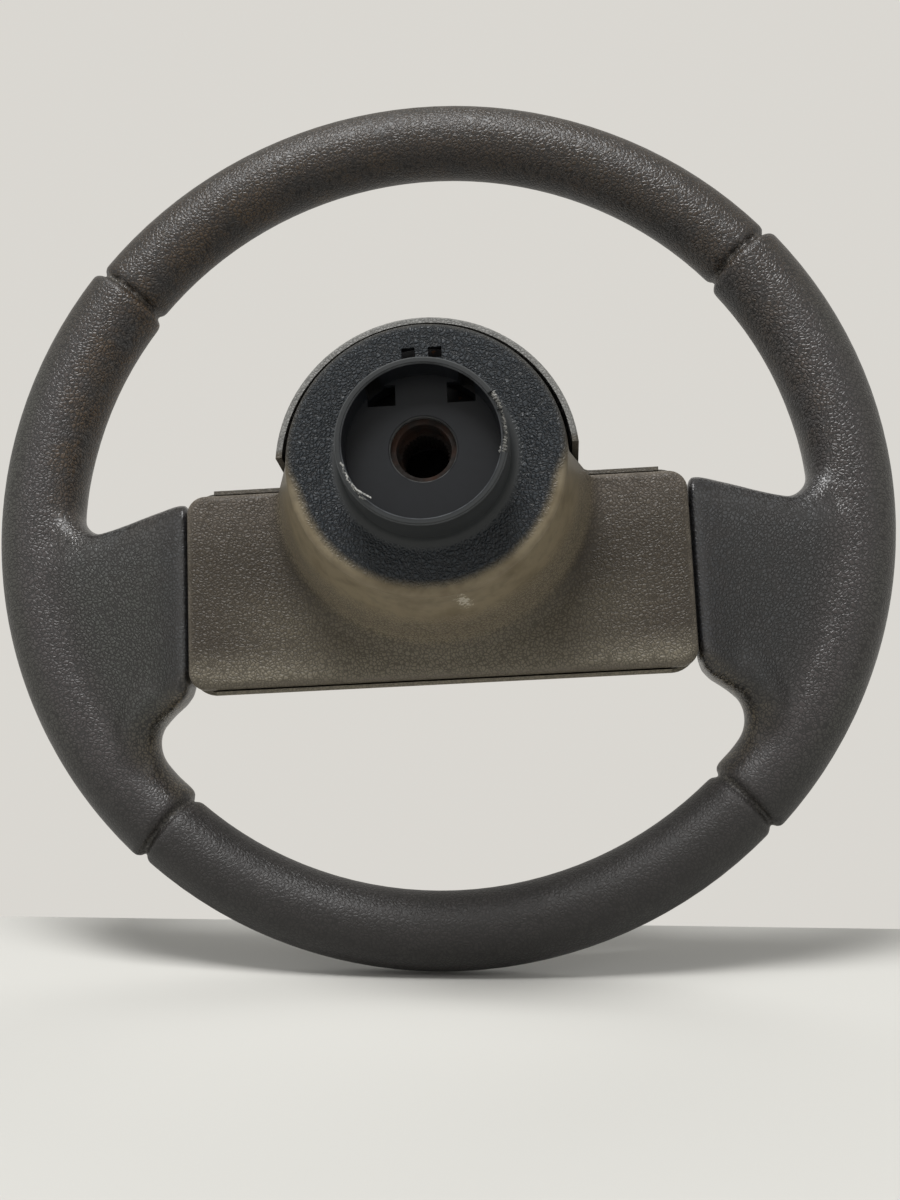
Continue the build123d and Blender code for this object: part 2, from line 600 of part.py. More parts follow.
# Four screws hold the back cover to the sheet, from the front
with BuildPart() as cover_screws:
    with BuildSketch(across(COVER_SCREW_TIP_Y)):
        with Locations(*COVER_SCREWS):
            Circle(COVER_SCREW_R)
    extrude(amount=COVER_SCREW_TIP_Y - SPIDER_FRONT_Y)
    with BuildSketch(across(SPIDER_FRONT_Y)):
        with Locations(*COVER_SCREWS):
            Circle(COVER_HEAD_R)
    extrude(amount=-COVER_HEAD_T, taper=HEAD_TAPER)
    with BuildSketch(across(SPIDER_FRONT_Y + COVER_HEAD_T - CROSS_DEPTH)):
        with Locations(*COVER_SCREWS):
            Rectangle(COVER_HEAD_R, CROSS_WIDTH)
            Rectangle(CROSS_WIDTH, COVER_HEAD_R)
    extrude(amount=-COVER_HEAD_T, mode=Mode.SUBTRACT)
cover_screws.part.label = "cover_screws"
export_step(cover_screws.part, "parts/cover_screws.step")


def pad_form(inset, hump_r, back_y, front_y, edge_round):
    """The horn pad's outer or inner form: a box with a leaning low wall, a hump and a rounded dome."""
    half_x = BOX_HALF_X - inset
    top_z = PAD_TOP_Z - inset
    lean = tan(radians(PAD_LOW_DRAFT))
    with BuildPart() as form:
        with BuildSketch(Plane.YZ):
            with BuildLine():
                Polyline(
                    (back_y, top_z),
                    (front_y, top_z),
                    (front_y, PAD_LOW_Z + inset + (front_y - SKIRT_Y) * lean),
                    (back_y, PAD_LOW_Z + inset + (back_y - SKIRT_Y) * lean),
                    close=True,
                )
            make_face()
        extrude(amount=half_x, both=True)
        with BuildSketch(across(back_y)):
            Circle(hump_r)
        extrude(amount=back_y - front_y)
        deep = [e for e in form.edges() if abs(e.tangent_at(0.5).Y) > ALONG_Y]
        fillet([e for e in deep if abs(e.center().X) > half_x - EDGE_BREAK], PAD_CORNER - inset)
        deep = [e for e in form.edges() if abs(e.tangent_at(0.5).Y) > ALONG_Y]
        fillet([e for e in deep if abs(e.center().X) < hump_r], HUMP_ROOT_ROUND + inset)
        with Locations((0, front_y - DOME_R, BOX_MID_Z)):
            Sphere(DOME_R, mode=Mode.INTERSECT)
        fillet(form.faces().sort_by(Axis.Y)[-1].outer_wire().edges(), edge_round)
    return form.part


pad_outside = pad_form(0.0, HUMP_R, SKIRT_Y, FRONT_Y, FRONT_ROUND)
pad_inside = pad_form(PAD_WALL, HUMP_IN_R, SKIRT_Y - OVERCUT, FRONT_Y - FRONT_WALL, FRONT_ROUND - PAD_WALL)

# The deep skirt of the pad's hump, round the upper half of the disc
with BuildPart() as hump_skirt:
    with BuildSketch(Plane.XY):
        with BuildLine():
            Polyline(
                (HUMP_IN_R, HUMP_SKIRT_Y),
                (HUMP_R - EDGE_BREAK, HUMP_SKIRT_Y),
                (HUMP_R, HUMP_SKIRT_Y + EDGE_BREAK),
                (HUMP_R, SKIRT_Y + OVERCUT),
                (HUMP_IN_R, SKIRT_Y + OVERCUT),
                close=True,
            )
        make_face()
    revolve(axis=Axis.Y)
    split(bisect_by=Plane.XY.offset(HUMP_FOOT_Z), keep=Keep.TOP)

# Six bosses in the pad take the carrier's screws
with BuildPart() as pad_bosses:
    with BuildSketch(across(CARRIER_FRONT_Y)):
        with Locations(*CARRIER_SCREWS):
            Circle(CARRIER_SCREW_R + SCREW_BOSS_WALL)
    extrude(amount=CARRIER_FRONT_Y - FRONT_Y)
    add(pad_outside, mode=Mode.INTERSECT)

# The horn pad's skin: a domed front, a skirt over the box's lip, ends relieved for the box and the spokes
with BuildPart() as pad_shell:
    add(pad_outside)
    add(pad_inside, mode=Mode.SUBTRACT)
    add(hump_skirt.part)
    add(pad_bosses.part)
    with BuildSketch(across(CARRIER_Y)):
        with Locations(*CARRIER_SCREWS):
            Circle(CARRIER_SCREW_R)
    extrude(amount=-CARRIER_SCREW_LENGTH - SCREW_TIP_GAP, mode=Mode.SUBTRACT)
    with BuildSketch(across(SKIRT_Y - OVERCUT)):
        with Locations((BOX_HALF_X, BOX_MID_Z), (-BOX_HALF_X, BOX_MID_Z)):
            Rectangle(2 * PAD_CORNER, PAD_TOP_Z - PAD_LOW_Z + OVERCUT)
    extrude(amount=SKIRT_Y - OVERCUT - RELIEF_Y, mode=Mode.SUBTRACT)
    with BuildSketch(across(SKIRT_Y - OVERCUT)):
        with Locations((BOX_HALF_X, ARM_Z), (-BOX_HALF_X, ARM_Z)):
            Rectangle(2 * NOTCH_IN, 2 * (ARM_HALF + NOTCH_SIDE))
    extrude(amount=SKIRT_Y - OVERCUT - NOTCH_Y, mode=Mode.SUBTRACT)
pad_shell.part.label = "pad_shell"
export_step(pad_shell.part, "parts/pad_shell.step")

# The pad's carrier is a flat pressed sheet
with BuildPart() as pad_carrier:
    with BuildSketch(across(CARRIER_Y)):
        with Locations((0, BOX_MID_Z)):
            carrier_x = 2 * (BOX_HALF_X - CARRIER_MARGIN)
            RectangleRounded(carrier_x, BOX_TOP_Z - BOX_LOW_Z - 2 * CARRIER_MARGIN, CARRIER_CORNER)
        Circle(HUMP_IN_R - CARRIER_MARGIN)
        Circle(CARRIER_HOLE_R, mode=Mode.SUBTRACT)
        with Locations(*PIN_PLACES):
            Circle(BUSH_R, mode=Mode.SUBTRACT)
        with Locations(*CARRIER_SCREWS):
            Circle(CARRIER_SCREW_R, mode=Mode.SUBTRACT)
        with Locations(*CONTACT_PLACES):
            Circle(RIVET_R, mode=Mode.SUBTRACT)
    extrude(amount=-CARRIER_T)
pad_carrier.part.label = "pad_carrier"
export_step(pad_carrier.part, "parts/pad_carrier.step")

# Six screws hold the carrier in the skin
with BuildPart() as carrier_screws:
    with BuildSketch(across(CARRIER_Y)):
        with Locations(*CARRIER_SCREWS):
            Circle(CARRIER_SCREW_R)
    extrude(amount=-CARRIER_SCREW_LENGTH)
    with BuildSketch(across(CARRIER_Y)):
        with Locations(*CARRIER_SCREWS):
            Circle(CARRIER_HEAD_R)
    extrude(amount=CARRIER_HEAD_T, taper=HEAD_TAPER)
    with BuildSketch(across(CARRIER_Y - CARRIER_HEAD_T + CROSS_DEPTH)):
        with Locations(*CARRIER_SCREWS):
            Rectangle(CARRIER_HEAD_R, CROSS_WIDTH)
            Rectangle(CROSS_WIDTH, CARRIER_HEAD_R)
    extrude(amount=CARRIER_HEAD_T, mode=Mode.SUBTRACT)
carrier_screws.part.label = "carrier_screws"
export_step(carrier_screws.part, "parts/carrier_screws.step")

# One shoulder pin, on the spin axis
with BuildPart() as one_pin:
    with BuildSketch(Plane.XY):
        with BuildLine():
            Polyline(
                (0, PIN_TAIL_Y),
                (PIN_SHANK_R - PIN_CHAMFER, PIN_TAIL_Y),
                (PIN_SHANK_R, PIN_TAIL_Y + PIN_CHAMFER),
                (PIN_SHANK_R, LEDGE_FRONT_Y),
                (PIN_R, LEDGE_FRONT_Y),
                (PIN_R, PIN_HEAD_Y),
                (PIN_HEAD_R, PIN_HEAD_Y),
                (PIN_HEAD_R, PIN_HEAD_Y + PIN_HEAD_T - PIN_CHAMFER),
                (PIN_HEAD_R - PIN_CHAMFER, PIN_HEAD_Y + PIN_HEAD_T),
                (0, PIN_HEAD_Y + PIN_HEAD_T),
                close=True,
            )
        make_face()
    revolve(axis=Axis.Y)
    with Locations((0, PIN_HEAD_Y + PIN_HEAD_T, 0)):
        Box(2 * PIN_HEAD_R + OVERCUT, 2 * PIN_SLOT_DEPTH, PIN_SLOT_WIDTH, mode=Mode.SUBTRACT)

# Four shoulder pins guide the pad and stop it at rest
with BuildPart() as guide_pins:
    with Locations(*[(x, 0, z) for x, z in PIN_PLACES]):
        add(one_pin.part)
guide_pins.part.label = "guide_pins"
export_step(guide_pins.part, "parts/guide_pins.step")

# Flanged bushes in the carrier run on the pins and keep the two halves of the switch apart
with BuildPart() as pin_bushes:
    with BuildSketch(across(CARRIER_Y - BUSH_TAIL)):
        with Locations(*PIN_PLACES):
            Circle(BUSH_R)
            Circle(BUSH_BORE_R, mode=Mode.SUBTRACT)
    extrude(amount=-BUSH_TAIL - CARRIER_T)
    with BuildSketch(across(CARRIER_FRONT_Y)):
        with Locations(*PIN_PLACES):
            Circle(BUSH_FLANGE_R)
            Circle(BUSH_BORE_R, mode=Mode.SUBTRACT)
    extrude(amount=-BUSH_FLANGE_T)
pin_bushes.part.label = "pin_bushes"
export_step(pin_bushes.part, "parts/pin_bushes.step")

# Fibre washers seat the springs on the sheet
with BuildPart() as spring_seats:
    with BuildSketch(across(LEDGE_FRONT_Y)):
        with Locations(*PIN_PLACES):
            Circle(SEAT_R)
            Circle(BUSH_BORE_R, mode=Mode.SUBTRACT)
    extrude(amount=-SEAT_T)
spring_seats.part.label = "spring_seats"
export_step(spring_seats.part, "parts/spring_seats.step")

# One coil spring, standing on the seat's level round the spin axis
coil_height = SPRING_LENGTH - 2 * (SPRING_WIRE_R + SPRING_END_GAP)
with BuildPart() as one_spring:
    with BuildLine() as coil:
        Helix(pitch=coil_height / SPRING_TURNS, height=coil_height, radius=SPRING_R, direction=(0, 1, 0))
    with BuildSketch(coil.line ^ 0):
        Circle(SPRING_WIRE_R)
    sweep()

# Four coil springs push the pad back to its stop
with BuildPart() as horn_springs:
    coil_y = LEDGE_FRONT_Y + SEAT_T + SPRING_WIRE_R + SPRING_END_GAP
    with Locations(*[(x, coil_y, z) for x, z in PIN_PLACES]):
        add(one_spring.part)
horn_springs.part.label = "horn_springs"
export_step(horn_springs.part, "parts/horn_springs.step")

# Fibre pads keep the horn contacts off the sheet
with BuildPart() as contact_insulators:
    with BuildSketch(across(LEDGE_FRONT_Y)):
        with Locations(*CONTACT_SCREWS):
            Rectangle(2 * INSULATOR_HALF_X, 2 * INSULATOR_HALF_Z)
            Circle(CONTACT_SCREW_R, mode=Mode.SUBTRACT)
    extrude(amount=-INSULATOR_T)
contact_insulators.part.label = "contact_insulators"
export_step(contact_insulators.part, "parts/contact_insulators.step")

# Two bent brass strips are the fixed contacts
with BuildPart() as horn_contacts:
    strip_bend_x = CONTACT_X + STRIP_REACH
    with BuildSketch(Plane.XY.offset(ARM_Z)):
        with BuildLine():
            Polyline(
                (CONTACT_SCREW_X + STRIP_REACH, STRIP_BACK_Y),
                (CONTACT_SCREW_X + STRIP_REACH, STRIP_BACK_Y + STRIP_T),
                (strip_bend_x + STRIP_T, STRIP_BACK_Y + STRIP_T),
                (strip_bend_x + STRIP_T, STRIP_FRONT_Y),
                (CONTACT_X - STRIP_REACH, STRIP_FRONT_Y),
                (CONTACT_X - STRIP_REACH, STRIP_FRONT_Y - STRIP_T),
                (strip_bend_x, STRIP_FRONT_Y - STRIP_T),
                (strip_bend_x, STRIP_BACK_Y),
                close=True,
            )
        make_face()
    extrude(amount=STRIP_HALF, both=True)
    with BuildSketch(across(STRIP_BACK_Y - OVERCUT)):
        with Locations(CONTACT_SCREWS[0]):
            Circle(CONTACT_SCREW_R)
    extrude(amount=-STRIP_T - 2 * OVERCUT, mode=Mode.SUBTRACT)
    mirror(about=Plane.YZ)
horn_contacts.part.label = "horn_contacts"
export_step(horn_contacts.part, "parts/horn_contacts.step")

# Two screws hold the contacts through their fibre pads
with BuildPart() as contact_screws:
    with BuildSketch(across(LEDGE_BACK_Y - CONTACT_SCREW_TAIL)):
        with Locations(*CONTACT_SCREWS):
            Circle(CONTACT_SCREW_R)
    extrude(amount=LEDGE_BACK_Y - CONTACT_SCREW_TAIL - STRIP_BACK_Y - STRIP_T)
    with BuildSketch(across(STRIP_BACK_Y + STRIP_T)):
        with Locations(*CONTACT_SCREWS):
            Circle(CONTACT_HEAD_R)
    extrude(amount=-CONTACT_HEAD_T, taper=HEAD_TAPER)
    with BuildSketch(across(STRIP_BACK_Y + STRIP_T + CONTACT_HEAD_T / 2)):
        with Locations(*CONTACT_SCREWS):
            Rectangle(2 * CONTACT_HEAD_R, CROSS_WIDTH)
    extrude(amount=-CONTACT_HEAD_T, mode=Mode.SUBTRACT)
contact_screws.part.label = "contact_screws"
export_step(contact_screws.part, "parts/contact_screws.step")

# Two brass rivets in the carrier meet the contacts at full travel
with BuildPart() as contact_rivets:
    with BuildSketch(across(CARRIER_Y - RIVET_HEAD_T)):
        with Locations(*CONTACT_PLACES):
            Circle(RIVET_HEAD_R)
    extrude(amount=-RIVET_HEAD_T)
    with BuildSketch(across(CARRIER_Y)):
        with Locations(*CONTACT_PLACES):
            Circle(RIVET_R)
    extrude(amount=-CARRIER_T)
    with BuildSketch(across(CARRIER_FRONT_Y)):
        with Locations(*CONTACT_PLACES):
            Circle(RIVET_HEAD_R)
    extrude(amount=-RIVET_HEAD_T, taper=HEAD_TAPER)
contact_rivets.part.label = "contact_rivets"
export_step(contact_rivets.part, "parts/contact_rivets.step")
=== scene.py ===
import math

import bpy
from mathutils import Matrix, Vector


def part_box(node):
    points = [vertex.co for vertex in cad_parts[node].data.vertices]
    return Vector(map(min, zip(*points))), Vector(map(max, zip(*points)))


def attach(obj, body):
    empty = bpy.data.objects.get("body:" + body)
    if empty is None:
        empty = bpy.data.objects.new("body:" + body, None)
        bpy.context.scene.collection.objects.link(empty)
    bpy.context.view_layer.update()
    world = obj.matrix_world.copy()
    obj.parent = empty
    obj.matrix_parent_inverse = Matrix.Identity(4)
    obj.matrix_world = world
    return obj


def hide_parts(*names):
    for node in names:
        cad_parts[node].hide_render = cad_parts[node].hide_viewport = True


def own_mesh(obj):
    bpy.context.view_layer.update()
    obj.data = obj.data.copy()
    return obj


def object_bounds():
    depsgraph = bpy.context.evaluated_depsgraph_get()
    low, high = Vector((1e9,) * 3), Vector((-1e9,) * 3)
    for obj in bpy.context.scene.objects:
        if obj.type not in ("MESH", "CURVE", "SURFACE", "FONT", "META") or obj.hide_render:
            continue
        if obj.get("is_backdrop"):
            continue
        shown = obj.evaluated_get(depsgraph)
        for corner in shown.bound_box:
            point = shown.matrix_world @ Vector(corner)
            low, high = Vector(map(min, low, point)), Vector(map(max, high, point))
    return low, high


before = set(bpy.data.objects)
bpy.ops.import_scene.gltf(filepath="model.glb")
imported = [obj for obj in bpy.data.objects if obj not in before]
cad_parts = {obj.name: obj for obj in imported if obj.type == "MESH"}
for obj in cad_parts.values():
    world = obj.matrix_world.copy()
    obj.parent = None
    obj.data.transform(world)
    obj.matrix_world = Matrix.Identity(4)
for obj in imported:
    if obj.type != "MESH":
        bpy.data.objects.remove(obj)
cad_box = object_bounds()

# The rim's hoop, the pressed spokes and the pad's carrier are mild steel, welded or pressed and then
# dipped in thin black paint. The dip pools into dull and glossy patches, and rust shows through in specks.
PAINT_THICK = (0.012, 0.012, 0.013)
PAINT_THIN = (0.03, 0.029, 0.028)
RUST_SPECK = (0.11, 0.045, 0.018)


def new_finish(name, roughness, metallic=0.0, specular=0.5):
    """A fresh material: its tree, its shader and the piece's own coordinates."""
    material = bpy.data.materials.new(name)
    material.use_nodes = True
    tree = material.node_tree
    shader = tree.nodes["Principled BSDF"]
    shader.inputs["Roughness"].default_value = roughness
    shader.inputs["Metallic"].default_value = metallic
    shader.inputs["Specular IOR Level"].default_value = specular
    place = tree.nodes.new("ShaderNodeTexCoord").outputs["Object"]
    return material, tree, shader, place


def plug(tree, socket, value):
    """Sets a socket to a value, or links it to another socket."""
    if isinstance(value, bpy.types.NodeSocket):
        tree.links.new(value, socket)
    else:
        socket.default_value = value


def noise(tree, place, scale, detail=3.0, roughness=0.55):
    """Cloudy variation, from 0 to 1."""
    node = tree.nodes.new("ShaderNodeTexNoise")
    plug(tree, node.inputs["Vector"], place)
    node.inputs["Scale"].default_value = scale
    node.inputs["Detail"].default_value = detail
    node.inputs["Roughness"].default_value = roughness
    return node.outputs["Fac"]


def span(tree, value, low, high, to=(0.0, 1.0)):
    """Carries a value from one range to another, smoothly and held at the ends."""
    node = tree.nodes.new("ShaderNodeMapRange")
    node.interpolation_type = "SMOOTHSTEP"
    names = ("Value", "From Min", "From Max", "To Min", "To Max")
    for name, number in zip(names, (value, low, high, *to)):
        plug(tree, node.inputs[name], number)
    return node.outputs["Result"]


def blend_colour(tree, share, under, over):
    """Lays one colour over another by a share."""
    node = tree.nodes.new("ShaderNodeMix")
    node.data_type = "RGBA"
    plug(tree, node.inputs[0], share)
    for socket, colour in ((node.inputs[6], under), (node.inputs[7], over)):
        plug(tree, socket, colour if isinstance(colour, bpy.types.NodeSocket) else (*colour, 1.0))
    return node.outputs[2]


def relief(tree, shader, height, strength, depth):
    """Roughens the surface by a height."""
    node = tree.nodes.new("ShaderNodeBump")
    node.inputs["Strength"].default_value = strength
    node.inputs["Distance"].default_value = depth
    plug(tree, node.inputs["Height"], height)
    tree.links.new(node.outputs["Normal"], shader.inputs["Normal"])


def dress(material, *nodes):
    """Puts a finish on CAD nodes."""
    for name in nodes:
        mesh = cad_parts[name].data
        mesh.materials.clear()
        mesh.materials.append(material)


dip_paint, tree, shader, place = new_finish("black_dip_paint", 0.4, specular=0.4)
patches = noise(tree, place, scale=60.0, detail=4.0)
rust_specks = span(tree, noise(tree, place, scale=420.0, detail=2.0), 0.66, 0.74)
colour = blend_colour(tree, patches, PAINT_THICK, PAINT_THIN)
plug(tree, shader.inputs["Base Color"], blend_colour(tree, rust_specks, colour, RUST_SPECK))
plug(tree, shader.inputs["Roughness"], span(tree, patches, 0.3, 0.7, to=(0.3, 0.6)))
relief(tree, shader, noise(tree, place, scale=900.0, detail=2.0), strength=0.15, depth=0.0003)
dress(dip_paint, "rim_hoop", "spoke_spider", "pad_carrier")

# The hub boss is turned steel, staked into the sheet. Its bore has stood open without its shaft,
# so it is dark brown with rust, nearly black where grease has held the dust.
RUST_DARK = (0.010, 0.005, 0.0033)
RUST_BROWN = (0.044, 0.018, 0.009)
OLD_GREASE = (0.010, 0.007, 0.0055)
rusty_steel, tree, shader, place = new_finish("rusty_turned_steel", 0.8, metallic=0.1, specular=0.3)
crust = noise(tree, place, scale=260.0, detail=5.0, roughness=0.65)
grease = span(tree, noise(tree, place, scale=90.0, detail=2.0), 0.40, 0.58)
colour = blend_colour(tree, crust, RUST_DARK, RUST_BROWN)
plug(tree, shader.inputs["Base Color"], blend_colour(tree, grease, colour, OLD_GREASE))
plug(tree, shader.inputs["Roughness"], span(tree, crust, 0.3, 0.7, to=(0.65, 0.95)))
relief(tree, shader, crust, strength=0.5, depth=0.0006)
dress(rusty_steel, "hub_boss")

# The grip is foam with its own skin, moulded round the hoop and the spoke ends: the rim, two thumb
# pads and four finger grooves in one piece. The pads run into the rim with no edge, and years of hands
# have polished the crotches, nicked the top and left brown dirt on the inside of the left half.
SKIN_VOXEL = 0.00115
SKIN_KEPT = 0.6
PAD_END_X = 0.1028
PAD_REACH = 0.145
# where a pad runs into the rim: from the box outwards, round the tube, and between the grooves
RUN_IN_X = (PAD_END_X + 0.0035, PAD_END_X + 0.012)
RUN_IN_RADIUS = (0.120, 0.136)
RUN_OUT_RADIUS = (0.181, 0.170)
RUN_IN_TOP = (16.0, 8.0)
RUN_IN_LOW = (-44.6, -42.2)
SMOOTHING = (("run_in", 70), ("even", 5))
# each pad's end stands close to the box, and its lower corner hangs a little below the rest
END_CLOSER = 0.0009
END_X = (PAD_END_X + 0.010, PAD_END_X + 0.002)
CORNER_DROP = 0.0010
CORNER_X = (PAD_END_X + 0.020, PAD_END_X + 0.004)
CORNER_Z = (-0.050, -0.070)
# the nicks' middles, widths and depths, and the way into the foam there
NICKS = [((-0.0030, 0.0925, 0.1850), 0.0032, 0.0010), ((0.0045, 0.0935, 0.1860), 0.0022, 0.0006)]
INTO_RIM = Vector((0.0, 0.7, -0.7))
GROOVES = (39.2, -46.5)
FOAM_DARK = (0.025, 0.0205, 0.0205)
FOAM_LIGHT = (0.042, 0.036, 0.0350)
OUTER_LIT_GREY = (0.043, 0.043, 0.037)
TOP_BROWN = (0.022, 0.0140, 0.0075)
FOOT_SHADE = (0.013, 0.0115, 0.0110)
LEFT_PAD = (0.041, 0.0425, 0.0380)
RIGHT_PAD = (0.0235, 0.0245, 0.0255)
PAD_TOP_SHEEN = (0.060, 0.061, 0.064)
PAD_END_SHADE = (0.014, 0.015, 0.0175)
BROWN_DIRT = (0.066, 0.042, 0.022)
PALE_DIRT = (0.125, 0.102, 0.068)
GROOVE_DUST = (0.12, 0.11, 0.09)
FOAM_CREASE_SHADE = (0.007, 0.0062, 0.0058)


def copy_of(node, name):
    """A merged copy of a CAD node, selected and ready to be worked on."""
    piece = bpy.data.objects.new(name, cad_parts[node].data.copy())
    bpy.context.scene.collection.objects.link(piece)
    piece.matrix_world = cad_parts[node].matrix_world
    bpy.ops.object.select_all(action="DESELECT")
    piece.select_set(True)
    bpy.context.view_layer.objects.active = piece
    bpy.ops.object.transform_apply(location=True, rotation=True, scale=True)
    bpy.ops.object.mode_set(mode="EDIT")
    bpy.ops.mesh.select_all(action="SELECT")
    bpy.ops.mesh.remove_doubles(threshold=1e-6)
    bpy.ops.object.mode_set(mode="OBJECT")
    piece.data.materials.clear()
    return piece


def ramp(value, low, high):
    """0 at low, 1 at high, with soft ends."""
    t = min(1.0, max(0.0, (value - low) / (high - low)))
    return t * t * (3.0 - 2.0 * t)


grip = copy_of("rim_grip", "grip_skin")
skin = grip.modifiers.new("skin", "REMESH")
skin.mode = "VOXEL"
skin.voxel_size = SKIN_VOXEL
bpy.ops.object.modifier_apply(modifier="skin")
soft_part = grip.vertex_groups.new(name="run_in")
for vertex in grip.data.vertices:
    x, _, z = vertex.co
    radius = math.hypot(x, z)
    angle = math.degrees(math.atan2(z, abs(x)))
    weight = ramp(abs(x), *RUN_IN_X) * ramp(radius, *RUN_IN_RADIUS)
    weight *= ramp(radius, *RUN_OUT_RADIUS) * ramp(angle, *RUN_IN_TOP) * ramp(angle, *RUN_IN_LOW)
    if weight > 0.0:
        soft_part.add([vertex.index], weight, "REPLACE")
for name, rounds in SMOOTHING:
    smoother = grip.modifiers.new(name, "SMOOTH")
    smoother.factor = 0.5
    smoother.iterations = rounds
    if name == soft_part.name:
        smoother.vertex_group = soft_part.name
    bpy.ops.object.modifier_apply(modifier=name)
for vertex in grip.data.vertices:
    x, _, z = vertex.co
    if math.hypot(x, z) < PAD_REACH:
        vertex.co.x -= math.copysign(END_CLOSER * ramp(abs(x), *END_X), x)
        vertex.co.z -= CORNER_DROP * ramp(abs(x), *CORNER_X) * ramp(z, *CORNER_Z)
for centre, width, depth in NICKS:
    for vertex in grip.data.vertices:
        gap = (vertex.co - Vector(centre)).length
        if gap < width:
            vertex.co += INTO_RIM * depth * (1.0 - gap / width)
thin = grip.modifiers.new("thin", "DECIMATE")
thin.ratio = SKIN_KEPT
bpy.ops.object.modifier_apply(modifier="thin")
bpy.ops.object.shade_smooth()


def leather(tree, place, scale, wander):
    """Moulded leather grain: uneven grains parted by creases, from 0 in a crease to 1 on top."""
    swirl = tree.nodes.new("ShaderNodeTexNoise")
    plug(tree, swirl.inputs["Vector"], place)
    swirl.inputs["Scale"].default_value = 0.7 * scale
    swirl.inputs["Detail"].default_value = 1.0
    shift = tree.nodes.new("ShaderNodeVectorMath")
    shift.operation = "MULTIPLY_ADD"
    plug(tree, shift.inputs[0], swirl.outputs["Color"])
    shift.inputs[1].default_value = (wander / scale,) * 3
    plug(tree, shift.inputs[2], place)
    cells = tree.nodes.new("ShaderNodeTexVoronoi")
    cells.feature = "DISTANCE_TO_EDGE"
    plug(tree, cells.inputs["Vector"], shift.outputs[0])
    cells.inputs["Scale"].default_value = scale
    return span(tree, cells.outputs["Distance"], 0.0, 0.3)


def sums(tree, kind, first, second=0.0):
    """One step of arithmetic."""
    node = tree.nodes.new("ShaderNodeMath")
    node.operation = kind
    plug(tree, node.inputs[0], first)
    plug(tree, node.inputs[1], second)
    return node.outputs[0]


def both(tree, *shares):
    """The share where all of these hold."""
    total = shares[0]
    for share in shares[1:]:
        total = sums(tree, "MULTIPLY", total, share)
    return total


def position(tree, place):
    """The piece's own x, y and z."""
    axes = tree.nodes.new("ShaderNodeSeparateXYZ")
    plug(tree, axes.inputs[0], place)
    return axes.outputs


def from_axis(tree, x, z):
    """The distance from the axis that the wheel turns on."""
    square = sums(tree, "ADD", sums(tree, "MULTIPLY", x, x), sums(tree, "MULTIPLY", z, z))
    return sums(tree, "SQRT", square)


grip_foam, tree, shader, place = new_finish("grip_foam_skin", 0.4, specular=0.45)
x, _, z = position(tree, place)
radius = from_axis(tree, x, z)
angle = sums(tree, "ARCTAN2", z, sums(tree, "ABSOLUTE", x))
clouds = noise(tree, place, scale=16.0, detail=4.0)
fine = noise(tree, place, scale=120.0)
grain = leather(tree, place, scale=600.0, wander=1.0)
colour = blend_colour(tree, clouds, FOAM_DARK, FOAM_LIGHT)
# painted light: the rim's outer side is painted a lighter grey, as where the lamps catch it
painted_outer_light = both(tree, span(tree, radius, 0.176, 0.186), span(tree, clouds, 0.3, 0.6, to=(0.4, 1.0)))
colour = blend_colour(tree, painted_outer_light, colour, OUTER_LIT_GREY)
brown_top = both(tree, span(tree, z, 0.05, 0.13), span(tree, fine, 0.25, 0.65, to=(0.6, 1.0)))
colour = blend_colour(tree, brown_top, colour, TOP_BROWN)
# painted shade: the rim's lowest part is painted darker
painted_foot_shade = both(tree, span(tree, z, -0.085, -0.140), span(tree, fine, 0.25, 0.65, to=(0.6, 0.9)))
colour = blend_colour(tree, painted_foot_shade, colour, FOOT_SHADE)
# the right pad is darker than the left; both carry a painted sheen on top, standing for light from above,
# and painted blue-black shade at the box
pad_colour = blend_colour(tree, span(tree, x, -0.02, 0.02), LEFT_PAD, RIGHT_PAD)
pad_share = both(tree, span(tree, radius, 0.170, 0.150), span(tree, fine, 0.2, 0.6, to=(0.6, 1.0)))
pad_share = both(tree, pad_share, span(tree, z, -0.115, -0.085))
# painted sheen: the pads' upper part is painted paler, as if lit from above
painted_pad_sheen = span(tree, z, -0.034, -0.002, to=(0.0, 0.6))
painted_pad_sheen = both(tree, painted_pad_sheen, span(tree, fine, 0.25, 0.6, to=(0.6, 1.0)))
pad_colour = blend_colour(tree, painted_pad_sheen, pad_colour, PAD_TOP_SHEEN)
from_middle = sums(tree, "ABSOLUTE", x)
# painted shade: each pad is painted blue-black towards its end by the box
painted_end_shade = span(tree, from_middle, PAD_END_X + 0.019, PAD_END_X + 0.002, to=(0.0, 0.8))
pad_colour = blend_colour(tree, painted_end_shade, pad_colour, PAD_END_SHADE)
colour = blend_colour(tree, pad_share, colour, pad_colour)
# dirt lies on the inside of the upper rim, most of it on the left, and in the lower crotches
on_inside = both(tree, span(tree, radius, 0.176, 0.162), span(tree, z, -0.02, 0.05))
on_left = span(tree, x, 0.02, -0.11, to=(0.4, 1.0))
smears = noise(tree, place, scale=55.0, detail=4.0, roughness=0.65)
dirt = both(tree, on_inside, on_left, span(tree, smears, 0.34, 0.62))
colour = blend_colour(tree, dirt, colour, BROWN_DIRT)
low_dirt = both(tree, span(tree, angle, -0.56, -0.66), span(tree, radius, 0.168, 0.150))
low_dirt = both(tree, low_dirt, span(tree, fine, 0.30, 0.60, to=(0.2, 1.0)), span(tree, z, -0.125, -0.110))
colour = blend_colour(tree, low_dirt, colour, PALE_DIRT)
for groove in GROOVES:
    off = sums(tree, "ABSOLUTE", sums(tree, "SUBTRACT", angle, math.radians(groove)))
    in_groove = span(tree, off, 0.012, 0.004)
    dust = both(tree, in_groove, span(tree, noise(tree, place, scale=90.0), 0.35, 0.7, to=(0.1, 0.45)))
    colour = blend_colour(tree, dust, colour, GROOVE_DUST)
# painted shade: the grain's creases are painted darker
crease_shade = span(tree, grain, 0.0, 0.6, to=(0.9, 0.0))
plug(tree, shader.inputs["Base Color"], blend_colour(tree, crease_shade, colour, FOAM_CREASE_SHADE))
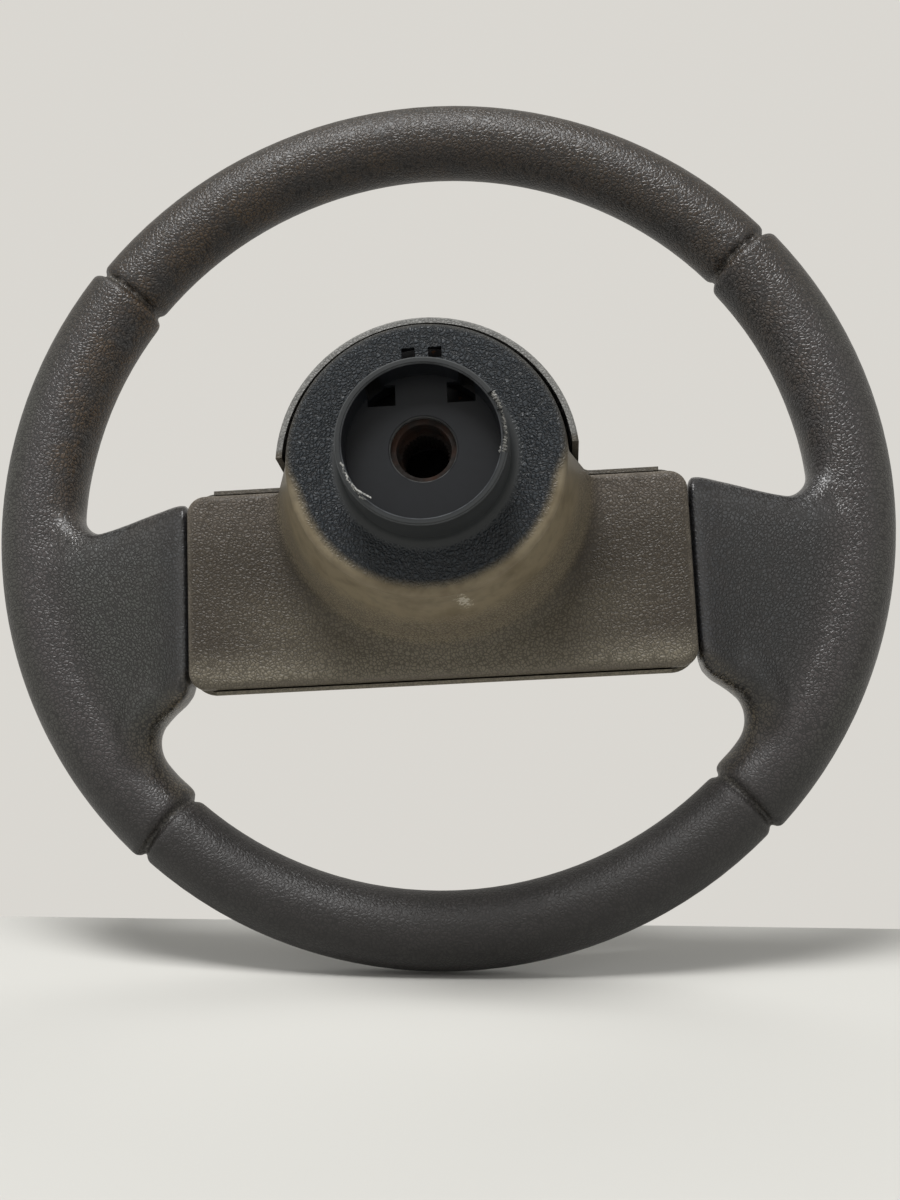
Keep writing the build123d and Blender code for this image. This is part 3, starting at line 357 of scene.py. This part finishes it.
# hands have polished the crotches and the pads' upper edges
upper_crotch = both(tree, span(tree, angle, 0.36, 0.12), span(tree, angle, -0.14, -0.03))
lower_crotch = both(tree, span(tree, angle, -0.84, -0.76), span(tree, angle, -0.52, -0.64))
pad_edge = both(tree, span(tree, z, -0.014, -0.006), span(tree, radius, 0.140, 0.126))
polish = sums(tree, "MAXIMUM", upper_crotch, lower_crotch)
polish = sums(tree, "MAXIMUM", both(tree, polish, span(tree, radius, 0.172, 0.158)), pad_edge)
rough = span(tree, clouds, 0.3, 0.7, to=(0.38, 0.48))
rough = sums(tree, "ADD", rough, span(tree, z, -0.080, -0.105, to=(0.0, 0.07)))
polished = sums(tree, "SUBTRACT", rough, sums(tree, "MULTIPLY", polish, 0.14))
plug(tree, shader.inputs["Roughness"], polished)
# the grain is deep on the pads, shallow on the lower rim, and worn away at the pads' ends
grain_depth = span(tree, radius, 0.172, 0.156, to=(1.0, 1.8))
grain_depth = both(tree, grain_depth, span(tree, z, -0.045, -0.085, to=(1.0, 0.6)))
off_end = span(tree, from_middle, PAD_END_X + 0.001, PAD_END_X + 0.007, to=(0.25, 1.0))
by_end = both(tree, span(tree, radius, PAD_REACH, 0.140), sums(tree, "SUBTRACT", 1.0, off_end))
worn_smooth = sums(tree, "MAXIMUM", by_end, sums(tree, "MULTIPLY", polish, 0.6))
grain_depth = both(tree, grain_depth, sums(tree, "SUBTRACT", 1.0, worn_smooth))
deep_grain = sums(tree, "MULTIPLY", grain, grain_depth)
swell = sums(tree, "MULTIPLY", noise(tree, place, scale=190.0, detail=2.0), 0.6)
relief(tree, shader, sums(tree, "ADD", deep_grain, swell), strength=0.45, depth=0.0004)
grip.data.materials.append(grip_foam)
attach(grip, "wheel")
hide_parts("rim_grip")

# The back cover is one moulding in dark plastic: box, boss, disc and collar, screwed to the sheet from
# inside. The box is grained and faded to taupe, the boss is smooth and yellow with dust, and the disc
# and the collar have kept their blue-black, the disc with a coarse leather grain.
DISC_EDGE_LOW = 0.0487
DISC_EDGE_TOP = 0.0525
COLLAR_FOOT = (0.0376, 0.0346)
# the pale rub's place right of the axis and below it, and how narrow it is across and upwards
RUB_RIGHT = 0.0117
RUB_BELOW = 0.0540
RUB_ACROSS = 250.0
RUB_UP = 640.0
TAUPE_DARK = (0.041, 0.0330, 0.0235)
TAUPE_LIGHT = (0.060, 0.0495, 0.0365)
HALO_DUST_AND_LIGHT = (0.135, 0.117, 0.085)
BOX_TOP_LIGHT = (0.112, 0.095, 0.078)
LOW_DUST = (0.175, 0.155, 0.116)
FOOT_DUST_AND_LIGHT = (0.210, 0.178, 0.126)
TAUPE_CREASE_SHADE = (0.018, 0.015, 0.011)
RUBBED_EDGE_AND_HIGHLIGHT = (0.130, 0.113, 0.090)
BOSS_DARK = (0.046, 0.043, 0.037)
BOSS_YELLOW = (0.205, 0.169, 0.110)
BOSS_STAIN = (0.115, 0.088, 0.051)
BOSS_SPECK = (0.115, 0.094, 0.060)
DISC_DARK = (0.0180, 0.0212, 0.0245)
DISC_LIGHT = (0.033, 0.0390, 0.0455)
DISC_CREASE_SHADE = (0.005, 0.0058, 0.0066)
COLLAR_DARK = (0.020, 0.0218, 0.0228)
COLLAR_LIGHT = (0.033, 0.0355, 0.0365)
SOCKET_SHADE_DEEP = (0.0045, 0.0053, 0.0068)
SOCKET_SHADE_SOFT = (0.0075, 0.0087, 0.0110)
HOLE_GREY = (0.060, 0.061, 0.060)
NOTCH_SHADE = (0.003, 0.003, 0.003)
LIP_WEAR_AND_HIGHLIGHT = (0.080, 0.085, 0.090)
RUB_PALE = (0.46, 0.42, 0.34)
cover_plastic, tree, shader, place = new_finish("cover_plastic", 0.5, specular=0.24)
x, y, z = position(tree, place)
radius = from_axis(tree, x, z)
clouds = noise(tree, place, scale=30.0, detail=4.0)
fine = noise(tree, place, scale=170.0)
disc_grain = leather(tree, place, scale=640.0, wander=1.5)
box_grain = leather(tree, place, scale=680.0, wander=1.0)
# the disc's grain stops at its edge above, and fades out over its round shoulder below
disc_edge = span(tree, z, -0.012, 0.004, to=(DISC_EDGE_LOW, DISC_EDGE_TOP))
disc_edge = sums(tree, "ADD", disc_edge, sums(tree, "MULTIPLY", fine, 0.0006))
past_edge = sums(tree, "SUBTRACT", radius, disc_edge)
facing_back = span(tree, y, 0.0125, 0.0095)
on_disc = both(tree, facing_back, span(tree, past_edge, 0.0028, -0.0022))
# the box's grain runs part of the way up the boss
up_boss = sums(tree, "ADD", y, sums(tree, "MULTIPLY", fine, 0.008))
on_box = span(tree, up_boss, 0.028, 0.044)
on_collar = span(tree, radius, *COLLAR_FOOT)
in_collar = both(tree, span(tree, radius, 0.0305, 0.0293), span(tree, y, 0.006, 0.004))
# dust lies under the boss and along the box's lower edge; painted light lifts the dust under the boss and
# the boss's foot, and lightens the box's upper part
box_colour = blend_colour(tree, clouds, TAUPE_DARK, TAUPE_LIGHT)
# dust under the boss, also painted lighter as painted light where the boss shades the box
halo_dust_and_light = both(tree, span(tree, radius, 0.110, 0.066), span(tree, z, -0.030, -0.060, to=(0.0, 0.85)))
box_colour = blend_colour(tree, halo_dust_and_light, box_colour, HALO_DUST_AND_LIGHT)
# painted light: the box's upper part is painted lighter, as if lit from above
painted_top_light = both(tree, span(tree, z, -0.026, 0.001), span(tree, fine, 0.3, 0.6, to=(0.4, 0.8)))
box_colour = blend_colour(tree, painted_top_light, box_colour, BOX_TOP_LIGHT)
low_edge = both(tree, span(tree, z, -0.058, -0.074), span(tree, fine, 0.3, 0.6, to=(0.7, 0.9)))
box_colour = blend_colour(tree, low_edge, box_colour, LOW_DUST)
# dust and painted light: the boss's downward-facing foot is painted lighter, standing for bounced light
foot = both(tree, span(tree, y, 0.0540, 0.0490), span(tree, z, 0.012, -0.012, to=(0.0, 0.9)))
box_colour = blend_colour(tree, foot, box_colour, FOOT_DUST_AND_LIGHT)
# painted shade: the box grain's creases are painted darker
crease_shade = span(tree, box_grain, 0.0, 0.5, to=(0.55, 0.0))
box_colour = blend_colour(tree, crease_shade, box_colour, TAUPE_CREASE_SHADE)
# the box's rounded edge walls are painted paler, partly as rubbed wear and partly as a painted highlight
box_edge_wear_and_highlight = both(tree, span(tree, y, 0.0550, 0.0562), span(tree, fine, 0.3, 0.7, to=(0.3, 0.8)))
box_colour = blend_colour(tree, box_edge_wear_and_highlight, box_colour, RUBBED_EDGE_AND_HIGHLIGHT)
# the boss is yellow below, with brown stains and specks
boss_low = span(tree, sums(tree, "ADD", z, sums(tree, "MULTIPLY", fine, 0.012)), 0.018, -0.014)
boss_colour = blend_colour(tree, boss_low, BOSS_DARK, BOSS_YELLOW)
stained = both(tree, boss_low, span(tree, noise(tree, place, scale=75.0), 0.42, 0.66, to=(0.0, 0.6)))
boss_colour = blend_colour(tree, stained, boss_colour, BOSS_STAIN)
boss_colour = blend_colour(tree, span(tree, fine, 0.45, 0.75, to=(0.0, 0.5)), boss_colour, BOSS_SPECK)
disc_colour = blend_colour(tree, clouds, DISC_DARK, DISC_LIGHT)
off_collar = sums(tree, "SUBTRACT", 1.0, on_collar)
# painted shade: the disc grain's creases are painted darker
crease_shade = both(tree, span(tree, disc_grain, 0.0, 0.50, to=(0.8, 0.0)), off_collar)
disc_colour = blend_colour(tree, crease_shade, disc_colour, DISC_CREASE_SHADE)
collar_colour = blend_colour(tree, clouds, COLLAR_DARK, COLLAR_LIGHT)
disc_colour = blend_colour(tree, on_collar, disc_colour, collar_colour)
colour = blend_colour(tree, on_box, boss_colour, box_colour)
colour = blend_colour(tree, on_disc, colour, disc_colour)
# painted shade: the collar's floor is painted far darker than the collar, as shade in the recess; a grey
# ring marks the bore's edge
socket_shade = blend_colour(tree, fine, SOCKET_SHADE_DEEP, SOCKET_SHADE_SOFT)
hole_edge = both(tree, span(tree, radius, 0.0130, 0.0126), span(tree, fine, 0.3, 0.6, to=(0.3, 1.0)))
socket_shade = blend_colour(tree, hole_edge, socket_shade, HOLE_GREY)
colour = blend_colour(tree, in_collar, colour, socket_shade)
# the two windows are notched up into the collar's wall, and no light gets into the notches, so they are
# painted black as shade
notch_shade = both(tree, span(tree, radius, 0.0293, 0.0296), span(tree, y, -0.0137, -0.0130))
notch_shade = both(tree, notch_shade, span(tree, y, 0.004, 0.002), span(tree, radius, 0.0316, 0.0314))
notch_shade = both(tree, notch_shade, span(tree, z, 0.016, 0.0175))
colour = blend_colour(tree, notch_shade, colour, NOTCH_SHADE)
# the mouth's flat lip has stayed dark, and its two edges are painted grey, partly as wear and partly as a
# painted highlight
lip_edge = sums(tree, "MAXIMUM", span(tree, radius, 0.0299, 0.0296), span(tree, radius, 0.0315, 0.0318))
on_lip = span(tree, y, -0.0141, -0.0147)
worn_lip_and_highlight = both(tree, lip_edge, on_lip, span(tree, fine, 0.25, 0.65, to=(0.3, 1.0)))
colour = blend_colour(tree, worn_lip_and_highlight, colour, LIP_WEAR_AND_HIGHLIGHT)
# a pale rub under the disc, a few millimetres wide and uneven
flakes = noise(tree, place, scale=620.0, roughness=0.7)
rub_x = sums(tree, "MULTIPLY", sums(tree, "SUBTRACT", x, RUB_RIGHT), RUB_ACROSS)
rub_z = sums(tree, "MULTIPLY", sums(tree, "ADD", z, RUB_BELOW), RUB_UP)
from_rub = sums(tree, "ADD", sums(tree, "MULTIPLY", rub_x, rub_x), sums(tree, "MULTIPLY", rub_z, rub_z))
from_rub = sums(tree, "ADD", sums(tree, "SQRT", from_rub), sums(tree, "MULTIPLY", flakes, 3.2))
colour = blend_colour(tree, span(tree, from_rub, 2.30, 1.90, to=(0.0, 0.9)), colour, RUB_PALE)
plug(tree, shader.inputs["Base Color"], colour)
grained = sums(tree, "MAXIMUM", on_box, sums(tree, "SUBTRACT", on_disc, on_collar))
plug(tree, shader.inputs["Roughness"], span(tree, grained, 0.0, 1.0, to=(0.44, 0.43)))
coarse = both(tree, disc_grain, on_disc, off_collar)
small = both(tree, box_grain, on_box)
height = sums(tree, "ADD", sums(tree, "MULTIPLY", coarse, 3.6), small)
height = sums(tree, "ADD", height, sums(tree, "MULTIPLY", fine, 0.2))
relief(tree, shader, height, strength=0.55, depth=0.0004)
dress(cover_plastic, "rear_cover")

# The collar is broken out on the right, and its mouth is bruised at the lower left. The torn plastic
# is whitened and ragged, stands up in burrs, and one sliver has peeled and curls into the mouth.
COLLAR_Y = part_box("rear_cover")[0][1]
RIDGE_SHEET = 0.0003
SLIVER_SHEET = 0.00035
TORN_GREY = (0.085, 0.087, 0.086)
TORN_WHITE = (0.36, 0.355, 0.335)
# each ridge's name, its turn in degrees, then its radius, the depth of its foot under the mouth and
# its width, all from one end to the other, and last its height and the phase of its jags; the break
# runs along the outside of the wall above, and crosses to its inside below
RIDGES = [
    ("break_edge_1", (33.0, 20.0), (0.0301, 0.0308), (0.0027, 0.0028), (0.0030, 0.0012), 0.0020, 0.0),
    ("break_edge_2", (20.0, 1.0), (0.0309, 0.0301), (0.0046, 0.0035), (0.0011, 0.0012), 0.0020, 1.7),
    ("break_edge_3", (1.0, -12.0), (0.0299, 0.0288), (0.0024, 0.0014), (0.0014, 0.0026), 0.0018, 3.4),
    ("bruised_edge", (226.0, 192.0), (0.0299, 0.0299), (0.0002, 0.0002), (0.0007, 0.0007), 0.0004, 4.1),
]
# the sliver's line, from its root in the lip to its free end, how far it leans and how much it curls
SLIVER = [
    (-0.0252, -0.0150, -0.0158),
    (-0.0239, -0.0156, -0.0176),
    (-0.0216, -0.0163, -0.0193),
    (-0.0187, -0.0165, -0.0212),
]
SLIVER_LEAN = Vector((0.0003, 0.0010, 0.0004))
SLIVER_CURL = 0.0002
SLIVER_TAPER = 0.8
torn_plastic, tree, shader, place = new_finish("torn_plastic", 0.7, specular=0.3)
tear = noise(tree, place, scale=480.0, roughness=0.7)
colour = blend_colour(tree, span(tree, tear, 0.34, 0.58), TORN_GREY, TORN_WHITE)
plug(tree, shader.inputs["Base Color"], colour)
relief(tree, shader, tear, strength=0.6, depth=0.0006)


def new_sheet(name, along, over):
    """A flat grid one metre wide, ready to be bent to its place."""
    bpy.ops.object.select_all(action="DESELECT")
    bpy.ops.mesh.primitive_grid_add(x_subdivisions=along, y_subdivisions=over, size=1.0)
    sheet = bpy.context.object
    sheet.name = name
    return sheet


def finish_torn(piece, thickness):
    """Gives a torn sheet its thickness, finish, body and slot."""
    body = piece.modifiers.new("body", "SOLIDIFY")
    body.thickness = thickness
    body.offset = 0.0
    bpy.ops.object.modifier_apply(modifier="body")
    bpy.ops.object.mode_set(mode="EDIT")
    bpy.ops.mesh.select_all(action="SELECT")
    bpy.ops.mesh.normals_make_consistent(inside=False)
    bpy.ops.object.mode_set(mode="OBJECT")
    bpy.ops.object.shade_smooth_by_angle(angle=0.6)
    piece.data.materials.append(torn_plastic)
    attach(piece, "wheel")


def ragged_edge(name, turns, radii, feet, widths, height, phase):
    """A torn ridge on the collar's mouth: a grid bent round the collar, with a jagged crest."""
    edge = new_sheet(name, along=48, over=4)
    for vertex in edge.data.vertices:
        along, over = vertex.co.x + 0.5, vertex.co.y + 0.5
        turn = math.radians(turns[0] + (turns[1] - turns[0]) * along)
        jag = 0.5 + 0.3 * math.sin(37.0 * along + phase) + 0.2 * math.sin(83.0 * along + 2.3 * phase)
        ends = ramp(along, 0.0, 0.06) * ramp(along, 1.0, 0.94)
        wander = 0.00022 * math.sin(29.0 * along + phase) + 0.00012 * math.sin(71.0 * along + phase)
        width = widths[0] + (widths[1] - widths[0]) * along
        reach = radii[0] + (radii[1] - radii[0]) * along + width * over * (0.6 + 0.4 * jag) + wander
        foot = COLLAR_Y + feet[0] + (feet[1] - feet[0]) * along
        rise = foot - height * math.sin(math.pi * over) * jag * ends
        vertex.co = (reach * math.cos(turn), rise, reach * math.sin(turn))
    finish_torn(edge, RIDGE_SHEET)


for ridge in RIDGES:
    ragged_edge(*ridge)
sliver = new_sheet("peeled_sliver", along=18, over=4)
spans = len(SLIVER) - 1
for vertex in sliver.data.vertices:
    along, over = (vertex.co.x + 0.5) * spans, vertex.co.y
    step = min(int(along), spans - 1)
    here = Vector(SLIVER[step]).lerp(Vector(SLIVER[step + 1]), along - step)
    taper = 1.0 - SLIVER_TAPER * along / spans
    curl = Vector((0.0, 0.0, SLIVER_CURL * math.cos(6.0 * over)))
    vertex.co = here + SLIVER_LEAN * over * taper + curl
finish_torn(sliver, SLIVER_SHEET)

# Screws and guide pins are cold-headed steel with a dull zinc coat, which has bloomed in places. All
# are driven from the inside, so none of them shows on the back of the wheel.
ZINC_BLOOM = (0.22, 0.21, 0.18)
ZINC_CLEAN = (0.48, 0.47, 0.43)
zinc, tree, shader, place = new_finish("dull_zinc", 0.45, metallic=0.9)
bloom = noise(tree, place, scale=380.0)
plug(tree, shader.inputs["Base Color"], blend_colour(tree, bloom, ZINC_BLOOM, ZINC_CLEAN))
plug(tree, shader.inputs["Roughness"], span(tree, bloom, 0.3, 0.7, to=(0.34, 0.6)))
relief(tree, shader, noise(tree, place, scale=1600.0, detail=2.0), strength=0.12, depth=0.0002)
dress(zinc, "cover_screws", "guide_pins", "contact_screws", "carrier_screws")

# Spring seats and contact pads are punched from red vulcanised fibre sheet. The seats lie loose under
# the springs, and the pads are clamped under the contacts.
FIBRE_DARK = (0.085, 0.018, 0.011)
FIBRE_RED = (0.17, 0.045, 0.026)
fibre, tree, shader, place = new_finish("red_fibre", 0.75, specular=0.3)
threads = noise(tree, place, scale=500.0, detail=4.0, roughness=0.7)
plug(tree, shader.inputs["Base Color"], blend_colour(tree, threads, FIBRE_DARK, FIBRE_RED))
relief(tree, shader, threads, strength=0.3, depth=0.0003)
dress(fibre, "spring_seats", "contact_insulators")

# The horn's four springs are wound from hard drawn wire, blued and oiled. They stand on their seats
# and shorten as the pad is pushed.
WIRE_BLUED = (0.10, 0.10, 0.105)
WIRE_BRIGHT = (0.27, 0.27, 0.275)
spring_wire, tree, shader, place = new_finish("oiled_spring_wire", 0.32, metallic=1.0)
oil = noise(tree, place, scale=300.0)
plug(tree, shader.inputs["Base Color"], blend_colour(tree, oil, WIRE_BLUED, WIRE_BRIGHT))
plug(tree, shader.inputs["Roughness"], span(tree, oil, 0.3, 0.7, to=(0.25, 0.45)))
coils = copy_of("horn_springs", "spring_coils")
bpy.ops.object.shade_smooth_by_angle(angle=0.8)
coils.data.materials.append(spring_wire)
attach(coils, "wheel")
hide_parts("horn_springs")
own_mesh(coils)

# The horn's contacts are brass strip, punched, bent and screwed down on their fibre pads. The rivets
# that meet them are brass too, set in the carrier, and both have browned.
BRASS_BROWN = (0.20, 0.11, 0.035)
BRASS_YELLOW = (0.47, 0.31, 0.105)
brass, tree, shader, place = new_finish("tarnished_brass", 0.4, metallic=0.95)
tarnish = noise(tree, place, scale=240.0, detail=4.0, roughness=0.6)
plug(tree, shader.inputs["Base Color"], blend_colour(tree, tarnish, BRASS_BROWN, BRASS_YELLOW))
plug(tree, shader.inputs["Roughness"], span(tree, tarnish, 0.3, 0.7, to=(0.5, 0.3)))
dress(brass, "horn_contacts", "contact_rivets")

# The bushes that slide on the pins are moulded nylon, pressed into the carrier. They were white and
# have yellowed with age.
NYLON_YELLOWED = (0.44, 0.40, 0.31)
NYLON_WHITE = (0.60, 0.57, 0.49)
nylon, tree, shader, place = new_finish("aged_nylon", 0.5, specular=0.4)
ageing = noise(tree, place, scale=210.0)
plug(tree, shader.inputs["Base Color"], blend_colour(tree, ageing, NYLON_YELLOWED, NYLON_WHITE))
plug(tree, shader.inputs["Roughness"], span(tree, ageing, 0.3, 0.7, to=(0.42, 0.58)))
dress(nylon, "pin_bushes")

# The horn pad's skin is a plain charcoal moulding with a fine grain, screwed to its carrier. Its skirt
# shows round the disc, where it is grey with dust, and along the box, where it has faded to taupe.
CHARCOAL_DARK = (0.018, 0.018, 0.0185)
CHARCOAL_LIGHT = (0.032, 0.0315, 0.031)
SKIRT_TAUPE = (0.085, 0.073, 0.055)
LOW_WALL_DUST = (0.190, 0.168, 0.125)
SKIRT_DUST = (0.205, 0.202, 0.190)
CHARCOAL_CREASE_SHADE = (0.010, 0.010, 0.010)
pad_plastic, tree, shader, place = new_finish("pad_plastic", 0.55, specular=0.4)
_, y, z = position(tree, place)
clouds = noise(tree, place, scale=24.0, detail=4.0)
fine = noise(tree, place, scale=200.0)
pad_grain = leather(tree, place, scale=760.0, wander=0.8)
colour = blend_colour(tree, clouds, CHARCOAL_DARK, CHARCOAL_LIGHT)
low_wall = both(tree, span(tree, z, -0.062, -0.070), span(tree, y, 0.114, 0.098))
round_hub = span(tree, z, 0.0065, 0.0090)
along_box = sums(tree, "SUBTRACT", 1.0, round_hub)
faded = sums(tree, "MAXIMUM", both(tree, along_box, span(tree, y, 0.084, 0.062)), low_wall)
faded = both(tree, faded, span(tree, fine, 0.2, 0.55, to=(0.65, 1.0)))
colour = blend_colour(tree, faded, colour, SKIRT_TAUPE)
colour = blend_colour(tree, low_wall, colour, LOW_WALL_DUST)
dusty = both(tree, round_hub, span(tree, y, 0.094, 0.030), span(tree, fine, 0.2, 0.6, to=(0.6, 1.0)))
colour = blend_colour(tree, dusty, colour, SKIRT_DUST)
# painted shade: the grain's creases are painted darker
crease_shade = span(tree, pad_grain, 0.0, 0.5, to=(0.4, 0.0))
plug(tree, shader.inputs["Base Color"], blend_colour(tree, crease_shade, colour, CHARCOAL_CREASE_SHADE))
plug(tree, shader.inputs["Roughness"], span(tree, clouds, 0.3, 0.7, to=(0.48, 0.6)))
height = sums(tree, "ADD", pad_grain, sums(tree, "MULTIPLY", fine, 0.4))
relief(tree, shader, height, strength=0.3, depth=0.0004)
dress(pad_plastic, "pad_shell")

# The floor is a plain pale board. The wheel leans back on it as it does in the photograph, so in the
# wheel's own frame the board slopes down towards the camera, under the rim's lowest point.
FLOOR_UP = Vector((0.055, -0.241, 0.969))
FLOOR_FOOT = Vector((-0.0107, 0.10895, -0.1892))
FLOOR_GAP = 0.0008
FLOOR_WIDTH = 1.5
FLOOR_BACK = 0.092
FLOOR_FRONT = 0.75
BOARD_DARK = (0.555, 0.547, 0.517)
BOARD_PALE = (0.580, 0.572, 0.542)
bpy.ops.object.select_all(action="DESELECT")
bpy.ops.mesh.primitive_plane_add(size=1.0)
floor = bpy.context.object
floor.name = "floor"
across_floor = Vector((1.0, 0.0, -0.055))
across_floor = (across_floor - FLOOR_UP * across_floor.dot(FLOOR_UP)).normalized()
along_floor = FLOOR_UP.cross(across_floor).normalized()
for vertex in floor.data.vertices:
    out = FLOOR_BACK if vertex.co.y > 0.0 else -FLOOR_FRONT
    middle = FLOOR_FOOT - FLOOR_UP * FLOOR_GAP
    vertex.co = middle + across_floor * FLOOR_WIDTH * vertex.co.x + along_floor * out
floor_paint, tree, shader, place = new_finish("pale_floor", 0.9, specular=0.1)
colour = blend_colour(tree, noise(tree, place, scale=3.0), BOARD_DARK, BOARD_PALE)
plug(tree, shader.inputs["Base Color"], colour)
floor.data.materials.append(floor_paint)
floor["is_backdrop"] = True

# The light is plain and soft: a large lamp high behind the wheel, weaker ones at each side and one in
# front, and a pale room all round that is brighter to look at than it lights.
ROOM_LIGHT = (0.60, 0.60, 0.58)
ROOM_SEEN = (0.70, 0.68, 0.64)
ROOM_STRENGTHS = (0.30, 1.0)
LAMPS_AIM = Vector((0.0, 0.06, 0.0))
# each lamp's name, place, watts, width, and whether gloss shows it
LAMPS = [
    ("soft_top", (-0.16, -0.99, 1.57), 43.0, 0.8, True),
    ("soft_left", (-1.0, -0.9, 0.25), 3.0, 0.8, True),
    ("soft_right", (1.0, -0.9, 0.25), 3.0, 0.8, True),
    ("soft_front", (0.35, 1.25, 0.95), 12.0, 1.2, False),
]
room = bpy.data.worlds.new("pale_room")
bpy.context.scene.world = room
room.use_nodes = True
tree = room.node_tree
glow = tree.nodes["Background"]
rays = tree.nodes.new("ShaderNodeLightPath")
seen = sums(tree, "MAXIMUM", rays.outputs["Is Camera Ray"], rays.outputs["Is Glossy Ray"])
seen = sums(tree, "MAXIMUM", seen, rays.outputs["Is Transmission Ray"])
plug(tree, glow.inputs["Color"], blend_colour(tree, seen, ROOM_LIGHT, ROOM_SEEN))
plug(tree, glow.inputs["Strength"], span(tree, seen, 0.0, 1.0, to=ROOM_STRENGTHS))
for name, lamp_place, watts, width, in_gloss in LAMPS:
    bpy.ops.object.light_add(type="AREA", location=lamp_place)
    lamp = bpy.context.object
    lamp.name = name
    lamp.data.energy = watts
    lamp.data.size = width
    lamp.visible_glossy = in_gloss
    lamp.rotation_euler = (LAMPS_AIM - Vector(lamp_place)).to_track_quat("-Z", "Y").to_euler()

# The camera stands where the photograph was taken: behind the wheel, low and a little to the right,
# with the lens that fits the rim's outlines there.
CAMERA_LENS = 54.0
CAMERA_FILM = 36.0
CAMERA_PLACE = Matrix((
    (0.99721, 0.05276, 0.05276, 0.04209),
    (0.06227, -0.19887, -0.97804, -0.64350),
    (-0.04111, 0.97860, -0.20161, -0.18959),
    (0.0, 0.0, 0.0, 1.0),
))
bpy.ops.object.camera_add()
camera = bpy.context.object
camera.data.lens = CAMERA_LENS
camera.data.sensor_width = CAMERA_FILM
camera.data.clip_start = 0.01
camera.matrix_world = CAMERA_PLACE
bpy.context.scene.camera = camera
bpy.context.scene.view_settings.view_transform = "Standard"

visual_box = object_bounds()
sizes = {"cad": cad_box, "visual": visual_box}
sizes = {name: [[float(number) for number in corner] for corner in box] for name, box in sizes.items()}
